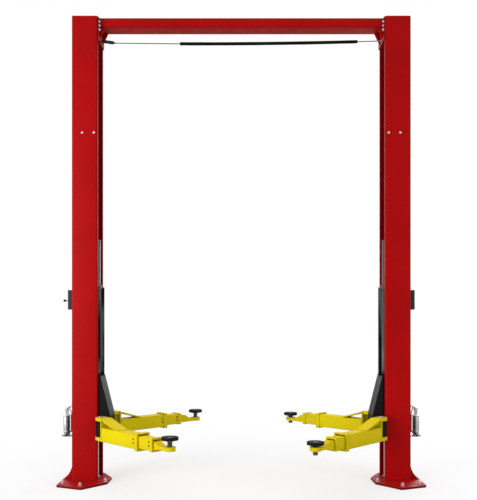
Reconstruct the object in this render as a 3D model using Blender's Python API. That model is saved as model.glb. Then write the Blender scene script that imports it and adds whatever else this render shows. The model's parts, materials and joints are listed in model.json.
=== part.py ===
# Two post car lift, in metres, +Z up.
# The origin is on the floor, midway between the columns, with the camera side at -Y.

import math

import bmesh
import bpy
from mathutils import Matrix, Vector

# Driving sizes
GAP = 0.0003
RUN = 0.0005
BITE = 0.004
PAST = 0.1

COLUMN_INNER_X = 1.316
COLUMN_DEPTH = 0.237
COLUMN_HALF_WIDTH = 0.140
COLUMN_WALL = 0.008
COLUMN_BEND = 0.010
COLUMN_TOP = 4.267
SLOT_HALF_WIDTH = 0.100

PLATE_THICKNESS = 0.019
PLATE_OUTLINE = (
    (0.325, -0.336),
    (0.083, -0.440),
    (-0.106, -0.228),
    (-0.112, -0.035),
    (-0.016, 0.150),
    (0.134, 0.280),
    (0.325, 0.220),
)
PLATE_CORNER = 0.012
ANCHOR_HOLES = ((0.111, -0.349), (-0.0795, -0.190), (0.284, -0.270), (0.284, 0.195), (0.154, 0.235))
ANCHOR_RADIUS = 0.011
GUSSET_HEIGHT = 0.146
GUSSET_REACH = 0.078
GUSSET_HOLLOW = 0.016
GUSSET_THICKNESS = 0.010
GUSSET_Y = 0.095

BEAM_HEIGHT = 0.082
BEAM_HALF_WIDTH = 0.086
BEAM_WALL = 0.006
BEAM_BEND = 0.006
END_PLATE_THICKNESS = 0.008
END_PLATE_HALF_WIDTH = 0.132
END_PLATE_HEIGHT = 0.215
BRACKET_REACH = 0.052
BRACKET_DROP = 0.112
BRACKET_THICKNESS = 0.008
BRACKET_INSET = 0.010

LATCH_LOW = 1.580
LATCH_HIGH = 1.760
LATCH_REACH = 0.052
LATCH_HALF_WIDTH = 0.070
LATCH_WALL = 0.0025
LATCH_CORNER = 0.006
LEVER_OUT = 0.030
LEVER_Z = 1.664
LEVER_KNOB_OUT = 0.097
KNOB_RADIUS = 0.0125
LEVER_ROD_RADIUS = 0.004
LEVER_PIN_RADIUS = 0.006
LEVER_SLOT_HALF = 0.010
LEVER_SLOT_LOW = 0.032
LEVER_SLOT_HIGH = 0.012

RACK_HALF_WIDTH = 0.068
RACK_SHEET = 0.004
RACK_TRAY_Z = 0.402
RACK_TRAY_REACH = 0.108
RACK_LIP = 0.014
RACK_TOP_Z = 0.694
HOOK_RADIUS = 0.031
HOOK_OUT = 0.033
HOOK_Z = 0.652
HOOK_ROD_RADIUS = 0.0065
HOOK_ROD_Y = 0.058
HOOK_STEM_OUT = 0.047
HOOK_STEM_HIGH = 0.595
HOOK_STEM_LOW = 0.440
HOOK_FOOT_OUT = 0.082
ADAPTER_OUT = 0.077
ADAPTER_Y = 0.030
ADAPTER_RADIUS = 0.0235
ADAPTER_FOOT_RADIUS = 0.0205
ADAPTER_FOOT = 0.034
ADAPTER_BODY = 0.190
ADAPTER_STEM_RADIUS = 0.0085
ADAPTER_STEM = 0.056
ADAPTER_HEAD_RADIUS = 0.0120
ADAPTER_HEAD = 0.018
PEG_RADIUS = 0.0085
PEG_HEIGHT = 0.028
PEG_ROOM = 0.004

CYLINDER_DEPTH = 0.039
BARREL_RADIUS = 0.040
BARREL_BORE = 0.034
BARREL_LOW = -0.029
BARREL_GLAND = 0.030
BARREL_CAP = 0.012
ROD_RADIUS = 0.023
ROD_FOOT_RADIUS = 0.036
ROD_FOOT = 0.012
PISTON = 0.020
PISTON_CLEARANCE = 0.0005
STROKE_END = 0.004
LIFT_DOWN = 0.290
LIFT_UP = 1.500

SWITCH_END = 0.1395
SWITCH_RADIUS = 0.0115
SWITCH_STEM_RADIUS = 0.006
SWITCH_START = 0.033
SWITCH_LEAN = 0.018
CABLE_RADIUS = 0.0025
CABLE_LOW_Z = 4.0646
CABLE_LOW_X = -0.3525
CABLE_RISE = 0.00972
CABLE_START = 0.0016
SLEEVE_START_X = -0.573
SLEEVE_END_X = 1.085
SLEEVE_RADIUS = 0.014
SWITCH_NOSE = 0.020
SWITCH_NECK = 0.012
SWITCH_SHOULDER = 0.004

REST_HEIGHT = 0.398
TOWER_PROUD = 0.019
TOWER_BACK_ROOM = 0.045
TOWER_HALF_WIDTH = 0.093
TOWER_PLATE = 0.012
TOWER_LOW = 0.060
TOWER_HIGH = 1.393
COLLAR_RADIUS = 0.052
COLLAR_HEIGHT = 0.016
TIE_THICKNESS = 0.014
TIE_INSET = 0.010
TOWER_BEND = 0.006
CHEEK_LAP = 0.009
CHEEK_REACH = 0.101
CHEEK_HALF_WIDTH = 0.112
CHEEK_PLATE = 0.012
CHEEK_HEADROOM = 0.050
CHEEK_TOP = 0.566
CHEEK_KNEE = 0.206
CHEEK_FOOT = 0.046
YOKE_INSET = 0.020
YOKE_DEPTH = 0.065
YOKE_LOW = 0.046
YOKE_HIGH = 0.161
PIN_OUT = 0.046
PIN_Y = 0.200
PIN_RADIUS = 0.022
PIN_HEAD_RADIUS = 0.030
PIN_HEAD = 0.010
BARREL_FIT = 0.0006
BOSS_RADIUS = 0.045
SLIDER_HEIGHT = 0.150

EAR_RADIUS = 0.050
LOWER_EAR = 0.031
UPPER_EAR_LOW = 0.176
UPPER_EAR = 0.028
ARM_START = 0.085
ARM_WIDTH = 0.122
ARM_HEIGHT = 0.123
ARM_WALL = 0.0095
ARM_BEND = 0.006
ARM_END = 0.635
ARM_MOUTH = 0.036
ARM_MOUTH_SIDE = 0.006
ARM_MOUTH_LOW = 0.014
ARM_MOUTH_HIGH = 0.013
ARM_MOUTH_OPENING = 0.124
ARM_MOUTH_EASE = 0.001
ARM_PLATE = 0.012
STRAP_THICKNESS = 0.012
STRAP_END = 0.330
STRAP_LAP = 0.020
STRAP_INSET = 0.006
MIDDLE_WIDTH = 0.098
MIDDLE_HEIGHT = 0.102
MIDDLE_LENGTH = 0.470
MIDDLE_COLLAR = 0.035
MIDDLE_COLLAR_PROUD = 0.006
TIP_WIDTH = 0.074
TIP_HEIGHT = 0.030
TIP_LENGTH = 0.460
TIP_CROWN = 0.071
TIP_CROWN_END = 0.160
TIP_SLOPE_END = 0.100
TIP_BOSS_RADIUS = 0.047
TIP_BOSS_PROUD = 0.002
SCREW_RADIUS = 0.0215
SCREW_LENGTH = 0.073
FLANGE_RADIUS = 0.038
FLANGE = 0.010
PAD_RADIUS = 0.070
PAD_THICKNESS = 0.026
PAD_RIM = 0.013
PAD_DISH = 0.003
PAD_EDGE = 0.003
PAD_Y = 0.903

# Arm stations at rest: side, end, pad X, middle stage's end from the pin, the tip's upward crank, and the
# flange's height over the tip's boss
ARMS = {
    "front_left": (-1, -1, 0.574, 0.825, 0.014, 0.044),
    "rear_left": (-1, 1, 0.489, 0.820, 0.0, 0.042),
    "front_right": (1, -1, 0.596, 0.765, 0.014, 0.006),
    "rear_right": (1, 1, 0.525, 0.820, 0.0, 0.012),
}
SIDES = {"left": -1, "right": 1}

BODY_RED = (0.46, 0.010, 0.012)
FRAME_BLACK = (0.020, 0.024, 0.024)
ARM_YELLOW = (0.90, 0.62, 0.010)
LATCH_GREY = (0.045, 0.065, 0.060)
STEEL_GREY = (0.30, 0.31, 0.31)
CHROME = (0.70, 0.70, 0.70)
BARREL_GREY = (0.12, 0.11, 0.11)
SILVER = (0.50, 0.51, 0.52)
RUBBER = (0.015, 0.015, 0.015)
NYLON = (0.55, 0.53, 0.48)

for item in list(bpy.data.objects):
    bpy.data.objects.remove(item, do_unlink=True)


# Shape helpers
def place(point, height, axis):
    if axis == "X":
        return (height, point[0], point[1])
    if axis == "Y":
        return (point[0], height, point[1])
    return (point[0], point[1], height)


def prism(outline, low, high, axis="Z"):
    shape = bmesh.new()
    ring = [shape.verts.new(place(point, low, axis)) for point in outline]
    face = shape.faces.new(ring)
    step = Vector(place((0, 0), high - low, axis))
    grown = bmesh.ops.extrude_face_region(shape, geom=[face])
    moved = [part for part in grown["geom"] if isinstance(part, bmesh.types.BMVert)]
    bmesh.ops.translate(shape, verts=moved, vec=step)
    bmesh.ops.recalc_face_normals(shape, faces=shape.faces)
    return shape


def ringed(stations, axis="X"):
    """Closed body whose skin runs from ring to ring and back to the first one."""
    shape = bmesh.new()
    rings = []
    for height, outline in stations:
        rings.append([shape.verts.new(place(point, height, axis)) for point in outline])
    count = len(rings[0])
    for near, far in zip(rings, rings[1:] + rings[:1]):
        for k in range(count):
            nxt = (k + 1) % count
            shape.faces.new((near[k], near[nxt], far[nxt], far[k]))
    bmesh.ops.recalc_face_normals(shape, faces=shape.faces)
    return shape


def turned(profile, sides=24, closed=False):
    shape = bmesh.new()
    rings = []
    for radius, height in profile:
        if radius == 0:
            rings.append([shape.verts.new((0, 0, height))])
            continue
        turn = [2 * math.pi * k / sides for k in range(sides)]
        rings.append([shape.verts.new((radius * math.cos(a), radius * math.sin(a), height)) for a in turn])
    following = rings[1:] + (rings[:1] if closed else [])
    for lower, upper in zip(rings, following):
        if len(lower) == len(upper) == 1:
            continue
        for k in range(sides):
            nxt = (k + 1) % sides
            below = [lower[k % len(lower)], lower[nxt % len(lower)]]
            above = [upper[nxt % len(upper)], upper[k % len(upper)]]
            shape.faces.new(list(dict.fromkeys(below + above)))
    bmesh.ops.recalc_face_normals(shape, faces=shape.faces)
    return shape


def rectangle(left, low, right, high):
    return [(left, low), (right, low), (right, high), (left, high)]


def rounded(corners, radius, steps=3):
    outline = []
    count = len(corners)
    for k, corner in enumerate(corners):
        here = Vector(corner)
        back = (Vector(corners[k - 1]) - here).normalized()
        ahead = (Vector(corners[(k + 1) % count]) - here).normalized()
        half = back.angle(ahead) / 2
        reach = radius / math.tan(half)
        centre = here + (back + ahead).normalized() * (radius / math.sin(half))
        first = here + back * reach - centre
        last = here + ahead * reach - centre
        sweep = first.angle_signed(last)
        for step in range(steps + 1):
            spoke = Matrix.Rotation(-sweep * step / steps, 2) @ first
            outline.append(tuple(centre + spoke))
    return outline


def formed_section(path, wall, bend, steps=3):
    """Outline of a bent sheet whose outer face follows the path, bending to its left."""
    points = [Vector(point) for point in path]
    outer = [tuple(points[0])]
    inner = []
    for k in range(1, len(points) - 1):
        back = (points[k - 1] - points[k]).normalized()
        ahead = (points[k + 1] - points[k]).normalized()
        half = back.angle(ahead) / 2
        radius = bend + wall
        centre = points[k] + (back + ahead).normalized() * (radius / math.sin(half))
        first = points[k] + back * (radius / math.tan(half)) - centre
        last = points[k] + ahead * (radius / math.tan(half)) - centre
        sweep = first.angle_signed(last)
        for step in range(steps + 1):
            spoke = (Matrix.Rotation(-sweep * step / steps, 2) @ first).normalized()
            outer.append(tuple(centre + spoke * radius))
            inner.append(tuple(centre + spoke * bend))
    outer.append(tuple(points[-1]))
    first_way = (points[1] - points[0]).normalized()
    last_way = (points[-1] - points[-2]).normalized()
    start = points[0] + Vector((-first_way.y, first_way.x)) * wall
    end = points[-1] + Vector((-last_way.y, last_way.x)) * wall
    return outer + [tuple(end)] + inner[::-1] + [tuple(start)]


def bowed(start, end, hollow, steps):
    first, last = Vector(start), Vector(end)
    across = (last - first).normalized()
    inward = Vector((across.y, -across.x)) * hollow
    points = []
    for k in range(steps + 1):
        t = k / steps
        points.append(tuple(first.lerp(last, t) + inward * 4 * t * (1 - t)))
    return points


def arc(centre, radius, start, end, steps):
    points = []
    for k in range(steps + 1):
        turn = math.radians(start + (end - start) * k / steps)
        points.append((centre[0] + radius * math.cos(turn), centre[1] + radius * math.sin(turn)))
    return points


def swept(path, radii, sides):
    """Round bar along a path in the XZ plane; two radii give a tube with that bore."""
    shape = bmesh.new()
    walls = []
    for radius in radii:
        rings = []
        for k, point in enumerate(path):
            before = Vector(path[max(k - 1, 0)])
            after = Vector(path[min(k + 1, len(path) - 1)])
            along = (after - before).normalized()
            upward = Vector((-along.z, 0, along.x))
            ring = []
            for side in range(sides):
                turn = 2 * math.pi * side / sides
                offset = upward * math.cos(turn) + Vector((0, 1, 0)) * math.sin(turn)
                ring.append(shape.verts.new(Vector(point) + offset * radius))
            rings.append(ring)
        for near, far in zip(rings, rings[1:]):
            for side in range(sides):
                nxt = (side + 1) % sides
                shape.faces.new((near[side], near[nxt], far[nxt], far[side]))
        walls.append(rings)
    for end in (0, -1):
        if len(walls) == 1:
            shape.faces.new(walls[0][end])
            continue
        for side in range(sides):
            nxt = (side + 1) % sides
            outer, inner = walls[0][end], walls[1][end]
            shape.faces.new((outer[side], outer[nxt], inner[nxt], inner[side]))
    bmesh.ops.recalc_face_normals(shape, faces=shape.faces)
    return shape


def moved(shape, offset=(0, 0, 0), turn=None):
    if turn is not None:
        bmesh.ops.transform(shape, matrix=turn, verts=shape.verts)
    bmesh.ops.translate(shape, verts=shape.verts, vec=Vector(offset))
    return shape


def mirrored(shape, side):
    if side > 0:
        return shape
    bmesh.ops.scale(shape, vec=(-1, 1, 1), verts=shape.verts)
    bmesh.ops.reverse_faces(shape, faces=shape.faces)
    return shape


# Object helpers
def finish_material(name, colour, roughness, metallic):
    material = bpy.data.materials.new(name)
    material.use_nodes = True
    shader = material.node_tree.nodes["Principled BSDF"]
    shader.inputs["Base Color"].default_value = (*colour, 1)
    shader.inputs["Roughness"].default_value = roughness
    shader.inputs["Metallic"].default_value = metallic
    return material


def new_object(name, shape):
    mesh = bpy.data.meshes.new(name)
    shape.to_mesh(mesh)
    shape.free()
    thing = bpy.data.objects.new(name, mesh)
    bpy.context.collection.objects.link(thing)
    return thing


def piece(name, shape, colour, roughness=0.45, metallic=0.0, parent=None, at=(0, 0, 0)):
    thing = new_object(name, shape)
    thing.data.materials.append(finish_material(name, colour, roughness, metallic))
    thing.data.shade_smooth()
    thing.data.set_sharp_from_angle(angle=math.radians(30))
    thing.location = at
    thing.parent = parent
    return thing


def tool(owner, name, shape, operation):
    helper = new_object(name, shape)
    helper.hide_render = True
    helper.display_type = "WIRE"
    helper.location = owner.location
    helper.parent = owner.parent
    change = owner.modifiers.new(name, "BOOLEAN")
    change.operation = operation
    change.solver = "EXACT"
    change.object = helper


def fuse(owner, shapes):
    for k, shape in enumerate(shapes):
        tool(owner, f"{owner.name}.add{k}", shape, "UNION")


def cut(owner, shapes):
    for k, shape in enumerate(shapes):
        tool(owner, f"{owner.name}.cut{k}", shape, "DIFFERENCE")


def empty(name, at, turn=0.0, parent=None):
    guide = bpy.data.objects.new(name, None)
    bpy.context.collection.objects.link(guide)
    guide.location = at
    guide.rotation_euler = (0, 0, turn)
    guide.parent = parent
    return guide


# Columns and floor plates
COLUMN_OUTER_X = COLUMN_INNER_X + COLUMN_DEPTH
CYLINDER_X = COLUMN_INNER_X + CYLINDER_DEPTH
TOWER_INNER_X = COLUMN_INNER_X - TOWER_PROUD
TOWER_OUTER_X = COLUMN_OUTER_X - COLUMN_WALL - TOWER_BACK_ROOM
CHEEK_OUTER_X = TOWER_INNER_X + CHEEK_LAP
CHEEK_INNER_X = CHEEK_OUTER_X - CHEEK_REACH
YOKE_INNER_X = CHEEK_INNER_X + YOKE_INSET
YOKE_OUTER_X = YOKE_INNER_X + YOKE_DEPTH
PIN_X = COLUMN_INNER_X - PIN_OUT


def drill(radius, low, high, sides=24):
    reach = radius / math.cos(math.pi / sides)
    return turned([(0, low), (reach, low), (reach, high), (0, high)], sides)


def add_base_plate(name, side):
    plate = moved(prism(rounded(PLATE_OUTLINE, PLATE_CORNER, 2), 0, PLATE_THICKNESS), (COLUMN_INNER_X, 0, 0))
    base = piece(f"base_plate_{name}", mirrored(plate, side), BODY_RED)
    start = COLUMN_OUTER_X + GAP
    top = PLATE_THICKNESS + GUSSET_HEIGHT
    foot = (start + GUSSET_REACH, PLATE_THICKNESS)
    corners = [(start, PLATE_THICKNESS - BITE)]
    corners += bowed((start, top), foot, GUSSET_HOLLOW, 8)
    corners.append((start + GUSSET_REACH, PLATE_THICKNESS - BITE))
    gussets = []
    for y in (-GUSSET_Y, GUSSET_Y):
        low = y - GUSSET_THICKNESS / 2
        gussets.append(mirrored(prism(corners, low, low + GUSSET_THICKNESS, "Y"), side))
    fuse(base, gussets)
    holes = []
    for x, y in ANCHOR_HOLES:
        hole = drill(ANCHOR_RADIUS, -PAST, PAST, 12)
        holes.append(mirrored(moved(hole, (COLUMN_INNER_X + x, y, 0)), side))
    cut(base, holes)


def add_column(name, side):
    near, far, half = COLUMN_INNER_X, COLUMN_OUTER_X, COLUMN_HALF_WIDTH
    path = [(near, -SLOT_HALF_WIDTH), (near, -half), (far, -half), (far, half), (near, half)]
    path.append((near, SLOT_HALF_WIDTH))
    outline = formed_section(path, COLUMN_WALL, COLUMN_BEND)
    shape = prism(outline, PLATE_THICKNESS + GAP, COLUMN_TOP)
    piece(f"column_{name}", mirrored(shape, side), BODY_RED)


# Overhead beam
def add_crossbeam():
    end = COLUMN_INNER_X - GAP
    low = COLUMN_TOP - BEAM_HEIGHT
    half = BEAM_HALF_WIDTH
    path = [(-half, COLUMN_TOP), (-half, low), (half, low), (half, COLUMN_TOP)]
    outline = formed_section(path, BEAM_WALL, BEAM_BEND)
    reach = end - END_PLATE_THICKNESS / 2
    beam = piece("crossbeam", prism(outline, -reach, reach, "X"), BODY_RED)
    ends = []
    for side in (-1, 1):
        wide = END_PLATE_HALF_WIDTH
        flat = rectangle(-wide, COLUMN_TOP - END_PLATE_HEIGHT, wide, COLUMN_TOP)
        plate = prism(rounded(flat, PLATE_CORNER, 2), end - END_PLATE_THICKNESS, end, "X")
        ends.append(mirrored(plate, side))
        face = end - END_PLATE_THICKNESS / 2
        corners = [(face, low + BEAM_WALL / 2), (face - BRACKET_REACH, low + BEAM_WALL / 2)]
        corners.append((face, low - BRACKET_DROP))
        for y in (BRACKET_INSET - half, half - BRACKET_INSET - BRACKET_THICKNESS):
            web = prism(corners, y, y + BRACKET_THICKNESS, "Y")
            ends.append(mirrored(web, side))
    fuse(beam, ends)


SWITCH_END_X = SWITCH_END - COLUMN_INNER_X
SWITCH_START_X = SWITCH_START - COLUMN_INNER_X


def cable_height(x):
    return CABLE_LOW_Z + CABLE_RISE * (x - CABLE_LOW_X) ** 2


def cable_path(start, end, count):
    points = []
    for k in range(count + 1):
        x = start + (end - start) * k / count
        points.append((x, 0, cable_height(x)))
    return points


def add_shutoff():
    wall = COLUMN_INNER_X - GAP - END_PLATE_THICKNESS - GAP
    inset = SWITCH_STEM_RADIUS * SWITCH_LEAN / (wall + SWITCH_END_X)
    start = Vector((inset - wall, 0, cable_height(SWITCH_END_X) + SWITCH_LEAN))
    end = Vector((SWITCH_END_X, 0, cable_height(SWITCH_END_X)))
    length = (end - start).length
    stem = SWITCH_START_X + wall
    thin, thick = SWITCH_STEM_RADIUS, SWITCH_RADIUS
    profile = [(0, 0), (thin, 0), (thin, stem), (thick, stem + SWITCH_SHOULDER)]
    profile += [(thick, length - SWITCH_NOSE), (thin, length - SWITCH_NECK), (thin, length), (0, length)]
    turn = Vector((0, 0, 1)).rotation_difference(end - start).to_matrix()
    piece("shutoff_switch", moved(turned(profile, 16), start, turn), LATCH_GREY)
    line = cable_path(SWITCH_END_X + CABLE_START, wall - GAP, 16)
    piece("shutoff_cable", swept(line, [CABLE_RADIUS], 8), STEEL_GREY, 0.4, 0.8)
    bore = (CABLE_RADIUS + 2 * GAP) / math.cos(math.pi / 12)
    cover = swept(cable_path(SLEEVE_START_X, SLEEVE_END_X, 12), [SLEEVE_RADIUS, bore], 12)
    piece("shutoff_sleeve", cover, RUBBER, 0.8)


# Latch covers and release lever
LEVER_X = COLUMN_OUTER_X + LEVER_OUT


def add_latch_box(name, side):
    near = COLUMN_OUTER_X + GAP
    far = near + LATCH_REACH
    half = LATCH_HALF_WIDTH
    wall = LATCH_WALL
    cover = rounded(rectangle(near - PAST, -half, far, half), LATCH_CORNER, 2)
    box = piece(f"latch_box_{name}", mirrored(prism(cover, LATCH_LOW, LATCH_HIGH), side), LATCH_GREY)
    trim = prism(rectangle(near - 2 * PAST, -PAST, near, PAST), LATCH_LOW - PAST, LATCH_HIGH + PAST)
    inside = rectangle(near - PAST / 2, -half + wall, far - wall, half - wall)
    hollow = prism(inside, LATCH_LOW + wall, LATCH_HIGH - wall)
    tools = [mirrored(trim, side), mirrored(hollow, side)]
    if side < 0:
        opening = rectangle(far - BITE, LEVER_Z - LEVER_SLOT_LOW, far + BITE, LEVER_Z + LEVER_SLOT_HIGH)
        tools.append(mirrored(prism(opening, -LEVER_SLOT_HALF, LEVER_SLOT_HALF, "Y"), side))
    cut(box, tools)


def add_latch_lever():
    pivot = empty("latch_pivot", (-LEVER_X, 0, LEVER_Z))
    half = LATCH_HALF_WIDTH - LATCH_WALL - GAP
    across = Matrix.Rotation(math.radians(90), 3, "X")
    pin = turned([(0, -half), (LEVER_PIN_RADIUS, -half), (LEVER_PIN_RADIUS, half), (0, half)], 12)
    lever = piece("latch_lever", moved(pin, turn=across), FRAME_BLACK, 0.35, parent=pivot)
    reach = LEVER_KNOB_OUT - LEVER_OUT
    ball = []
    for k in range(9):
        turn = math.radians(-90 + 180 * k / 8)
        wide = KNOB_RADIUS * math.cos(turn) if 0 < k < 8 else 0
        ball.append((wide, reach + KNOB_RADIUS * math.sin(turn)))
    outward = Matrix.Rotation(math.radians(-90), 3, "Y")
    rod = turned([(0, 0), (LEVER_ROD_RADIUS, 0), (LEVER_ROD_RADIUS, reach), (0, reach)], 8)
    fuse(lever, [moved(rod, turn=outward), moved(turned(ball, 16), turn=outward)])


# Adapter racks
def hook_path(near):
    centre = (near + HOOK_OUT, HOOK_Z)
    line = [(near + RACK_SHEET / 2, HOOK_Z + HOOK_RADIUS)] + arc(centre, HOOK_RADIUS, 90, -40, 6)
    line += [(near + HOOK_STEM_OUT, HOOK_STEM_HIGH), (near + HOOK_STEM_OUT, HOOK_STEM_LOW)]
    line.append((near + HOOK_FOOT_OUT, RACK_TRAY_Z + RACK_SHEET / 2))
    return [(x, 0, z) for x, z in line]


def add_rack(name, side):
    near = COLUMN_OUTER_X + GAP
    far = near + RACK_TRAY_REACH
    sheet = RACK_SHEET
    path = [(near, RACK_TOP_Z), (near, RACK_TRAY_Z), (far, RACK_TRAY_Z), (far, RACK_TRAY_Z + RACK_LIP)]
    outline = formed_section(path, sheet, sheet, 2)
    body = prism(outline, -RACK_HALF_WIDTH, RACK_HALF_WIDTH, "Y")
    rack = piece(f"rack_{name}", mirrored(body, side), FRAME_BLACK)
    extras = []
    for y in (-HOOK_ROD_Y, HOOK_ROD_Y):
        hook = swept(hook_path(near), [HOOK_ROD_RADIUS], 8)
        extras.append(mirrored(moved(hook, (0, y, 0)), side))
    base = RACK_TRAY_Z + sheet
    adapter_x = COLUMN_OUTER_X + ADAPTER_OUT
    for y in (-ADAPTER_Y, ADAPTER_Y):
        peg = turned([(0, base - sheet / 2), (PEG_RADIUS, base - sheet / 2),
                      (PEG_RADIUS, base + PEG_HEIGHT), (0, base + PEG_HEIGHT)], 12)
        extras.append(mirrored(moved(peg, (adapter_x, y, 0)), side))
    fuse(rack, extras)
    for label, y in (("front", -ADAPTER_Y), ("rear", ADAPTER_Y)):
        low = base + GAP
        depth = low + PEG_HEIGHT + PEG_ROOM
        bore = (PEG_RADIUS + RUN) / math.cos(math.pi / 16)
        collar, body_top = low + ADAPTER_FOOT, low + ADAPTER_BODY
        stem_top = body_top + ADAPTER_STEM
        top = stem_top + ADAPTER_HEAD
        profile = [(0, depth), (bore, depth), (bore, low), (ADAPTER_FOOT_RADIUS, low)]
        profile += [(ADAPTER_FOOT_RADIUS, collar), (ADAPTER_RADIUS, collar), (ADAPTER_RADIUS, body_top)]
        profile += [(ADAPTER_STEM_RADIUS, body_top), (ADAPTER_STEM_RADIUS, stem_top)]
        profile += [(ADAPTER_HEAD_RADIUS, stem_top), (ADAPTER_HEAD_RADIUS, top), (0, top)]
        adapter = moved(turned(profile, 16), (side * adapter_x, y, 0))
        piece(f"adapter_{name}_{label}", adapter, SILVER, 0.3, 0.9)


# Cylinders: the rod stands on the floor plate and the barrel rises with the carriage
BARREL_INSIDE = LIFT_DOWN + LIFT_UP + PISTON + 2 * STROKE_END
BARREL_LENGTH = BARREL_GLAND + BARREL_INSIDE + BARREL_CAP


def add_rod(name, side):
    foot = PLATE_THICKNESS + GAP
    top = REST_HEIGHT + BARREL_LOW + BARREL_GLAND + BARREL_INSIDE - LIFT_DOWN - STROKE_END
    head = BARREL_BORE - PISTON_CLEARANCE
    profile = [(0, foot), (ROD_FOOT_RADIUS, foot), (ROD_FOOT_RADIUS, foot + ROD_FOOT)]
    profile += [(ROD_RADIUS, foot + ROD_FOOT), (ROD_RADIUS, top - PISTON)]
    profile += [(head, top - PISTON), (head, top), (0, top)]
    piece(f"rod_{name}", moved(turned(profile), (side * CYLINDER_X, 0, 0)), CHROME, 0.12, 1.0)


def add_cylinder(name, side, carriage):
    low = BARREL_LOW
    high = low + BARREL_LENGTH
    gland = low + BARREL_GLAND
    neck = (ROD_RADIUS + PISTON_CLEARANCE) / math.cos(math.pi / 24)
    bore = BARREL_BORE / math.cos(math.pi / 24)
    shelf = TOWER_HIGH + GAP
    profile = [(neck, low), (BARREL_RADIUS, low), (BARREL_RADIUS, shelf), (COLLAR_RADIUS, shelf)]
    profile += [(COLLAR_RADIUS, shelf + COLLAR_HEIGHT), (BARREL_RADIUS, shelf + COLLAR_HEIGHT)]
    profile += [(BARREL_RADIUS, high), (0, high), (0, high - BARREL_CAP), (bore, high - BARREL_CAP)]
    profile += [(bore, gland), (neck, gland)]
    shape = turned(profile, closed=True)
    piece(f"cylinder_{name}", shape, BARREL_GREY, 0.4, parent=carriage, at=(side * CYLINDER_X, 0, 0))


# Carriages
def boss_height():
    return LOWER_EAR + RUN, UPPER_EAR_LOW - RUN


def add_carriage(name, side, carriage):
    half = TOWER_HALF_WIDTH
    near, far = TOWER_INNER_X, TOWER_OUTER_X
    path = [(near, -half), (far, -half), (far, half), (near, half)]
    tower = prism(formed_section(path, TOWER_PLATE, TOWER_BEND), TOWER_LOW, TOWER_HIGH)
    body = piece(f"carriage_{name}", mirrored(tower, side), FRAME_BLACK, parent=carriage)
    shapes = []
    mid = TOWER_PLATE / 2
    tie = rectangle(near + TIE_INSET, -half + mid, far - mid, half - mid)
    shapes.append(prism(tie, TOWER_HIGH - TIE_THICKNESS, TOWER_HIGH))
    shapes.append(prism(tie, TOWER_LOW, TOWER_LOW + TIE_THICKNESS))
    inner, outer, wide = CHEEK_INNER_X, CHEEK_OUTER_X, CHEEK_HALF_WIDTH
    skin = CHEEK_PLATE
    cheek = [(outer, CHEEK_FOOT), (outer, CHEEK_TOP), (outer - skin, CHEEK_TOP), (inner, CHEEK_KNEE)]
    cheek.append((inner, CHEEK_FOOT))
    shapes.append(prism(cheek, -wide, wide, "Y"))
    yoke = rectangle(YOKE_INNER_X, -PIN_Y, YOKE_OUTER_X, PIN_Y)
    shapes.append(prism(yoke, YOKE_LOW, YOKE_HIGH))
    low, high = boss_height()
    for y in (-PIN_Y, PIN_Y):
        boss = turned([(0, low), (BOSS_RADIUS, low), (BOSS_RADIUS, high), (0, high)])
        shapes.append(moved(boss, (PIN_X, y, 0)))
    fuse(body, [mirrored(shape, side) for shape in shapes])
    cuts = [moved(drill(BARREL_RADIUS + BARREL_FIT, -PAST, TOWER_HIGH + PAST), (CYLINDER_X, 0, 0))]
    for y in (-PIN_Y, PIN_Y):
        cuts.append(moved(drill(PIN_RADIUS + RUN, -PAST, UPPER_EAR_LOW + PAST), (PIN_X, y, 0)))
    below = CHEEK_FOOT - PAST
    inside = [(outer - skin, below), (outer - skin, CHEEK_TOP - CHEEK_HEADROOM)]
    inside += [(inner + skin, CHEEK_KNEE), (inner + skin, below)]
    cuts.append(prism(inside, -wide + skin, wide - skin, "Y"))
    cut(body, [mirrored(shape, side) for shape in cuts])


def add_slide_block(name, side, carriage, low):
    near = COLUMN_INNER_X + COLUMN_WALL + RUN
    far = COLUMN_OUTER_X - COLUMN_WALL - RUN
    wide = COLUMN_HALF_WIDTH - COLUMN_WALL - RUN
    seat = TOWER_HALF_WIDTH + GAP
    back = TOWER_OUTER_X + GAP
    chamfer = COLUMN_BEND
    outline = [(near, -wide + chamfer), (near + chamfer, -wide)]
    outline += [(far - chamfer, -wide), (far, -wide + chamfer)]
    outline += [(far, wide - chamfer), (far - chamfer, wide)]
    outline += [(near + chamfer, wide), (near, wide - chamfer)]
    outline += [(near, seat), (back, seat), (back, -seat), (near, -seat)]
    shape = prism(outline, low, low + SLIDER_HEIGHT)
    piece(name, mirrored(shape, side), NYLON, 0.5, parent=carriage)


def add_pin(name, x, y, carriage):
    low = GAP
    under = UPPER_EAR_LOW + UPPER_EAR + GAP
    profile = [(0, low), (PIN_RADIUS, low), (PIN_RADIUS, under), (PIN_HEAD_RADIUS, under)]
    profile += [(PIN_HEAD_RADIUS, under + PIN_HEAD), (0, under + PIN_HEAD)]
    piece(f"pin_{name}", turned(profile), STEEL_GREY, 0.35, 0.8, parent=carriage, at=(x, y, 0))


# Arms, along their own +X from the pin, with heights from the arm's underside
MIDDLE_LOW = ARM_WALL + RUN
TIP_LOW = MIDDLE_LOW + ARM_WALL + RUN


def ear_outline(end):
    """Plate with a round end about the pin and straight sides out to its far end."""
    return arc((0, 0), EAR_RADIUS, 90, 270, 14) + [(end, -EAR_RADIUS), (end, EAR_RADIUS)]


def box_outline(half, low, high, bend=ARM_BEND):
    return rounded(rectangle(-half, low, half, high), bend)


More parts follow.
